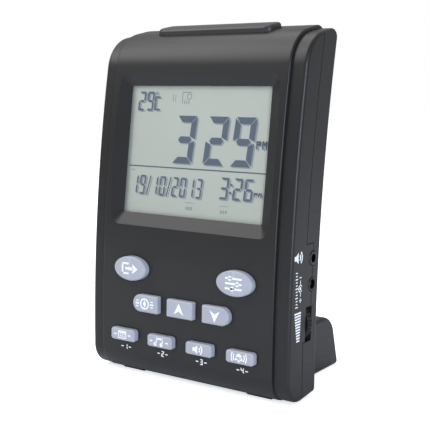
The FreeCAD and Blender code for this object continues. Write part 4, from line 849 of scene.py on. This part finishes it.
def call_mark(ink):
    """Bell with two waves on each side."""
    dome_v, dome_radius = 0.5, 1.3
    brim_v, brim_half = -1.0, 2.0
    clapper_v, clapper_radius = -1.35, 0.45
    wave_v, wave_line, wave_spread, wave_radii = 0.2, 0.45, 30, (2.6, 3.6)
    ink.disc((0.0, dome_v), dome_radius, steps=20)
    ink.outline([(-dome_radius, dome_v), (dome_radius, dome_v), (brim_half, brim_v), (-brim_half, brim_v)])
    ink.disc((0.0, clapper_v), clapper_radius, steps=12)
    for centre in (0, 180):
        for radius in wave_radii:
            ink.arc((0.0, wave_v), radius, wave_line, centre - wave_spread, centre + wave_spread, steps=8)


# Marks on the keys, with their places on the keypad in millimetres; the bottom row's follow its pitch
UPPER_MARKS = (
    ("key_up", up_mark, 0.0, 0.0),
    ("key_down", down_mark, MIDDLE_PITCH, 0.0),
    ("key_exit", exit_mark, -OVAL_X, OVAL_ROW),
    ("key_set", set_mark, OVAL_X, OVAL_ROW),
    ("key_direction", direction_mark, -MIDDLE_PITCH, 0.0),
)
BOTTOM_MARKS = (
    ("key_calendar", calendar_mark),
    ("key_melody", melody_mark),
    ("key_sound", sound_mark),
    ("key_call", call_mark),
)

# Numbers under the bottom row, in millimetres from the middle of the key above
NUMBER_DROP = 7.0
DASH_DROP = 5.775
DASH_REACH = 2.1
DASH_LENGTH = 1.3
DASH_LINE = 0.45


def mark_key(key, draw, u, v):
    """White mark that goes in with its key."""
    matrix = face_matrix(KEYPAD_Z) @ Matrix.Translation((0, -KEY_PROUD * MM, 0))
    ink = Ink(key + "_mark", MATERIALS["ink"], matrix)
    draw(ink.at(u, v))
    ink.build(key + "_part", "keys")


def draw_key_number(ink, number):
    """Plain number between two dashes, under a key at the origin."""
    digit(ink, str(number), -KEY_NUMBER_STYLE.width / 2, -NUMBER_DROP, KEY_NUMBER_STYLE)
    for side in (-1, 1):
        ink.patch(side * DASH_REACH, -DASH_DROP, DASH_LENGTH, DASH_LINE)


def dress_keys():
    """Generic white marks on the keys, and plain numbers under the bottom row."""
    for key, draw, u, v in UPPER_MARKS:
        mark_key(key, draw, u, v)
    numbers = Ink("key_numbers", MATERIALS["ink"], face_matrix(KEYPAD_Z))
    row_middle = (len(BOTTOM_MARKS) - 1) / 2
    for index, (key, draw) in enumerate(BOTTOM_MARKS):
        u = (index - row_middle) * SMALL_PITCH
        mark_key(key, draw, u, SMALL_ROW)
        draw_key_number(numbers.at(u, SMALL_ROW), index + 1)
    numbers.build(BODY, "case", face_sag)


# Marks on the right wall, in millimetres; places to the rear are as measured, less the shift to the frame
SIDE_SHIFT = 30.325
SOUND_PLACE = (6.4, 59.8)
SOUND_SCALE = 1.25
POLARITY_PLACE = (7.9, 47.4)
TICKS = 12
TICKS_MIDDLE = 5.0
TICKS_LOW = 40.0
TICK_PITCH = 1.25
TICK_LINE = 0.45
SHORT_TICK = 0.6
LONG_TICK = 0.95
LONG_TICK_EVERY = 3
VOLUME_BARS = 11
VOLUME_TOP = 37.6
VOLUME_HEIGHT = 11.2
VOLUME_FRONT = 3.5
VOLUME_FRONT_TAPER = 1.7
VOLUME_REAR = 8.6
VOLUME_REAR_TAPER = 1.0
VOLUME_LINE = 0.68


def polarity_mark(ink):
    """Open ring round a dot, with a lead up to a minus sign and a lead down to a plus sign."""
    ring_radius, ring_line, ring_gap, dot_radius, lead = 1.3, 0.45, 40, 0.6, 0.4
    lower_lead, upper_lead, plus_upright = (-3.2, -1.1), (1.2, 3.2), (-5.7, -3.9)
    plus_bar, minus_bar = (-4.8, 1.7), (4.4, 1.5)
    ink.arc((0.0, 0.0), ring_radius, ring_line, ring_gap, 360 - ring_gap, steps=18)
    ink.disc((0.0, 0.0), dot_radius, steps=14)
    for low, high in (lower_lead, upper_lead, plus_upright):
        ink.bar(-lead / 2, lead / 2, low, high)
    for middle, length in (plus_bar, minus_bar):
        ink.patch(0.0, middle, length, lead)


def draw_ticks(ink):
    """Row of plain ticks, every third one longer."""
    for index in range(TICKS):
        low = TICKS_LOW + TICK_PITCH * index
        reach = SHORT_TICK if index % LONG_TICK_EVERY else LONG_TICK
        ink.bar(TICKS_MIDDLE - reach, TICKS_MIDDLE + reach, low, low + TICK_LINE)


def draw_volume_bars(ink):
    """Row of bars that get shorter downwards, beside the wheel."""
    for index in range(VOLUME_BARS):
        share = index / (VOLUME_BARS - 1)
        front = VOLUME_FRONT + VOLUME_FRONT_TAPER * share
        rear = VOLUME_REAR - VOLUME_REAR_TAPER * share
        z = VOLUME_TOP - VOLUME_HEIGHT * share
        ink.bar(front, rear, z - VOLUME_LINE / 2, z + VOLUME_LINE / 2)


def dress_side():
    """Sound mark, supply polarity mark, ticks and volume bars on the right wall."""
    ink = Ink("side_marks", MATERIALS["ink"], side_matrix())
    sound_mark(ink.at(SOUND_PLACE[0] - SIDE_SHIFT, SOUND_PLACE[1]), SOUND_SCALE)
    polarity_mark(ink.at(POLARITY_PLACE[0] - SIDE_SHIFT, POLARITY_PLACE[1]))
    ink.at(-SIDE_SHIFT, 0.0)
    draw_ticks(ink)
    draw_volume_bars(ink)
    ink.build(BODY, "case")


# Floor and world; the glow is seen by the camera alone
FLOOR_HALF = 3.0
FLOOR_ROUGHNESS = 0.95
FLOOR_SHEEN = 0.1
FLOOR_GLOW = 0.66
WORLD_LEVEL = 0.48


def camera_choice(tree, plain, seen, output):
    """Show one shader to the camera and another to all other rays."""
    path = tree.nodes.new("ShaderNodeLightPath")
    choice = tree.nodes.new("ShaderNodeMixShader")
    sources = (path.outputs["Is Camera Ray"], plain, seen)
    for source, socket in zip(sources, choice.inputs):
        tree.links.new(source, socket)
    tree.links.new(choice.outputs["Shader"], tree.nodes[output].inputs["Surface"])


def floor_material():
    """Matt white that keeps shadows and looks as white as the background."""
    material, tree, shader = new_material("floor_white")
    shader.inputs["Base Color"].default_value = opaque(FLOOR_WHITE)
    shader.inputs["Roughness"].default_value = FLOOR_ROUGHNESS
    shader.inputs["Specular IOR Level"].default_value = FLOOR_SHEEN
    glow = add_node(tree, "ShaderNodeEmission", Strength=FLOOR_GLOW)
    both = tree.nodes.new("ShaderNodeAddShader")
    for source, socket in zip((shader.outputs["BSDF"], glow.outputs["Emission"]), both.inputs):
        tree.links.new(source, socket)
    camera_choice(tree, shader.outputs["BSDF"], both.outputs["Shader"], "Material Output")
    return material


def make_floor():
    """Plain floor under the clock."""
    corners = [(x * FLOOR_HALF, y * FLOOR_HALF, 0) for x, y in ((-1, -1), (1, -1), (1, 1), (-1, 1))]
    mesh = bpy.data.meshes.new("floor")
    mesh.from_pydata(corners, [], [range(len(corners))])
    floor = bpy.data.objects.new("floor", mesh)
    bpy.context.scene.collection.objects.link(floor)
    mesh.materials.append(floor_material())


def make_world():
    """Even white world: soft light on the clock, full white behind it."""
    world = bpy.data.worlds.new("studio")
    bpy.context.scene.world = world
    world.use_nodes = True
    tree = world.node_tree
    light = tree.nodes["Background"]
    light.inputs["Color"].default_value = opaque(WHITE)
    light.inputs["Strength"].default_value = WORLD_LEVEL
    white = tree.nodes.new("ShaderNodeBackground")
    white.inputs["Color"].default_value = opaque(WHITE)
    white.inputs["Strength"].default_value = 1.0
    camera_choice(tree, light.outputs["Background"], white.outputs["Background"], "World Output")


# Soft lights: name, place and size in metres, power in watts, colour; all look at the middle of the clock
LIGHT_TARGET = (0.0, 0.0, 0.075)
LIGHTS = (
    ("key_light", (-0.62, -0.50, 0.90), (0.7, 0.7), 6.6, WHITE),
    ("fill_light", (0.9, -0.5, 0.45), (0.6, 0.6), 0.6, WHITE),
    ("top_light", (-0.35, 0.15, 1.05), (0.7, 0.7), 3.2, WHITE),
    ("edge_light", (0.80, -0.57, 0.26), (0.07, 0.5), 5.6, COOL_LIGHT),
)


def area_light(name, place, size, power, colour):
    """Soft rectangular light of a width and height."""
    data = bpy.data.lights.new(name, "AREA")
    data.shape = "RECTANGLE"
    data.size, data.size_y = size
    data.energy = power
    data.color = colour
    light = bpy.data.objects.new(name, data)
    light.location = place
    light.rotation_euler = (Vector(LIGHT_TARGET) - Vector(place)).to_track_quat("-Z", "Y").to_euler()
    bpy.context.scene.collection.objects.link(light)


# Camera, from the photo's vanishing points: film and focal length in pixels, angles in degrees, and its place
# in millimetres from the middle of the clock's front at the table
FILM_PIXELS = 430
FOCAL_PIXELS = 927.0
SENSOR = 36.0
CLIP_START = 0.01
CAMERA_TURN = 34.8
CAMERA_TILT = 8.2
CAMERA_RIGHT = 227.17
CAMERA_AHEAD = 302.25
CAMERA_HEIGHT = 128.13


def make_camera():
    """Camera at the photo's place and angle."""
    data = bpy.data.cameras.new("camera")
    data.sensor_width = SENSOR
    data.lens = SENSOR * FOCAL_PIXELS / FILM_PIXELS
    data.clip_start = CLIP_START
    turn = math.radians(CAMERA_TURN)
    tilt = math.radians(CAMERA_TILT)
    look = Vector((-math.sin(turn) * math.cos(tilt), math.cos(turn) * math.cos(tilt), -math.sin(tilt)))
    camera = bpy.data.objects.new("camera", data)
    camera.location = Vector((MIDDLE_X + CAMERA_RIGHT, FRONT_Y - CAMERA_AHEAD, CAMERA_HEIGHT)) * MM
    camera.rotation_euler = look.to_track_quat("-Z", "Y").to_euler()
    bpy.context.scene.collection.objects.link(camera)
    bpy.context.scene.camera = camera


def main():
    """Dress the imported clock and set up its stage."""
    bpy.context.scene.view_settings.view_transform = "Standard"
    dress_nodes()
    smooth_nodes()
    dress_display()
    dress_keys()
    dress_side()
    make_floor()
    make_world()
    for light in LIGHTS:
        area_light(*light)
    make_camera()


main()
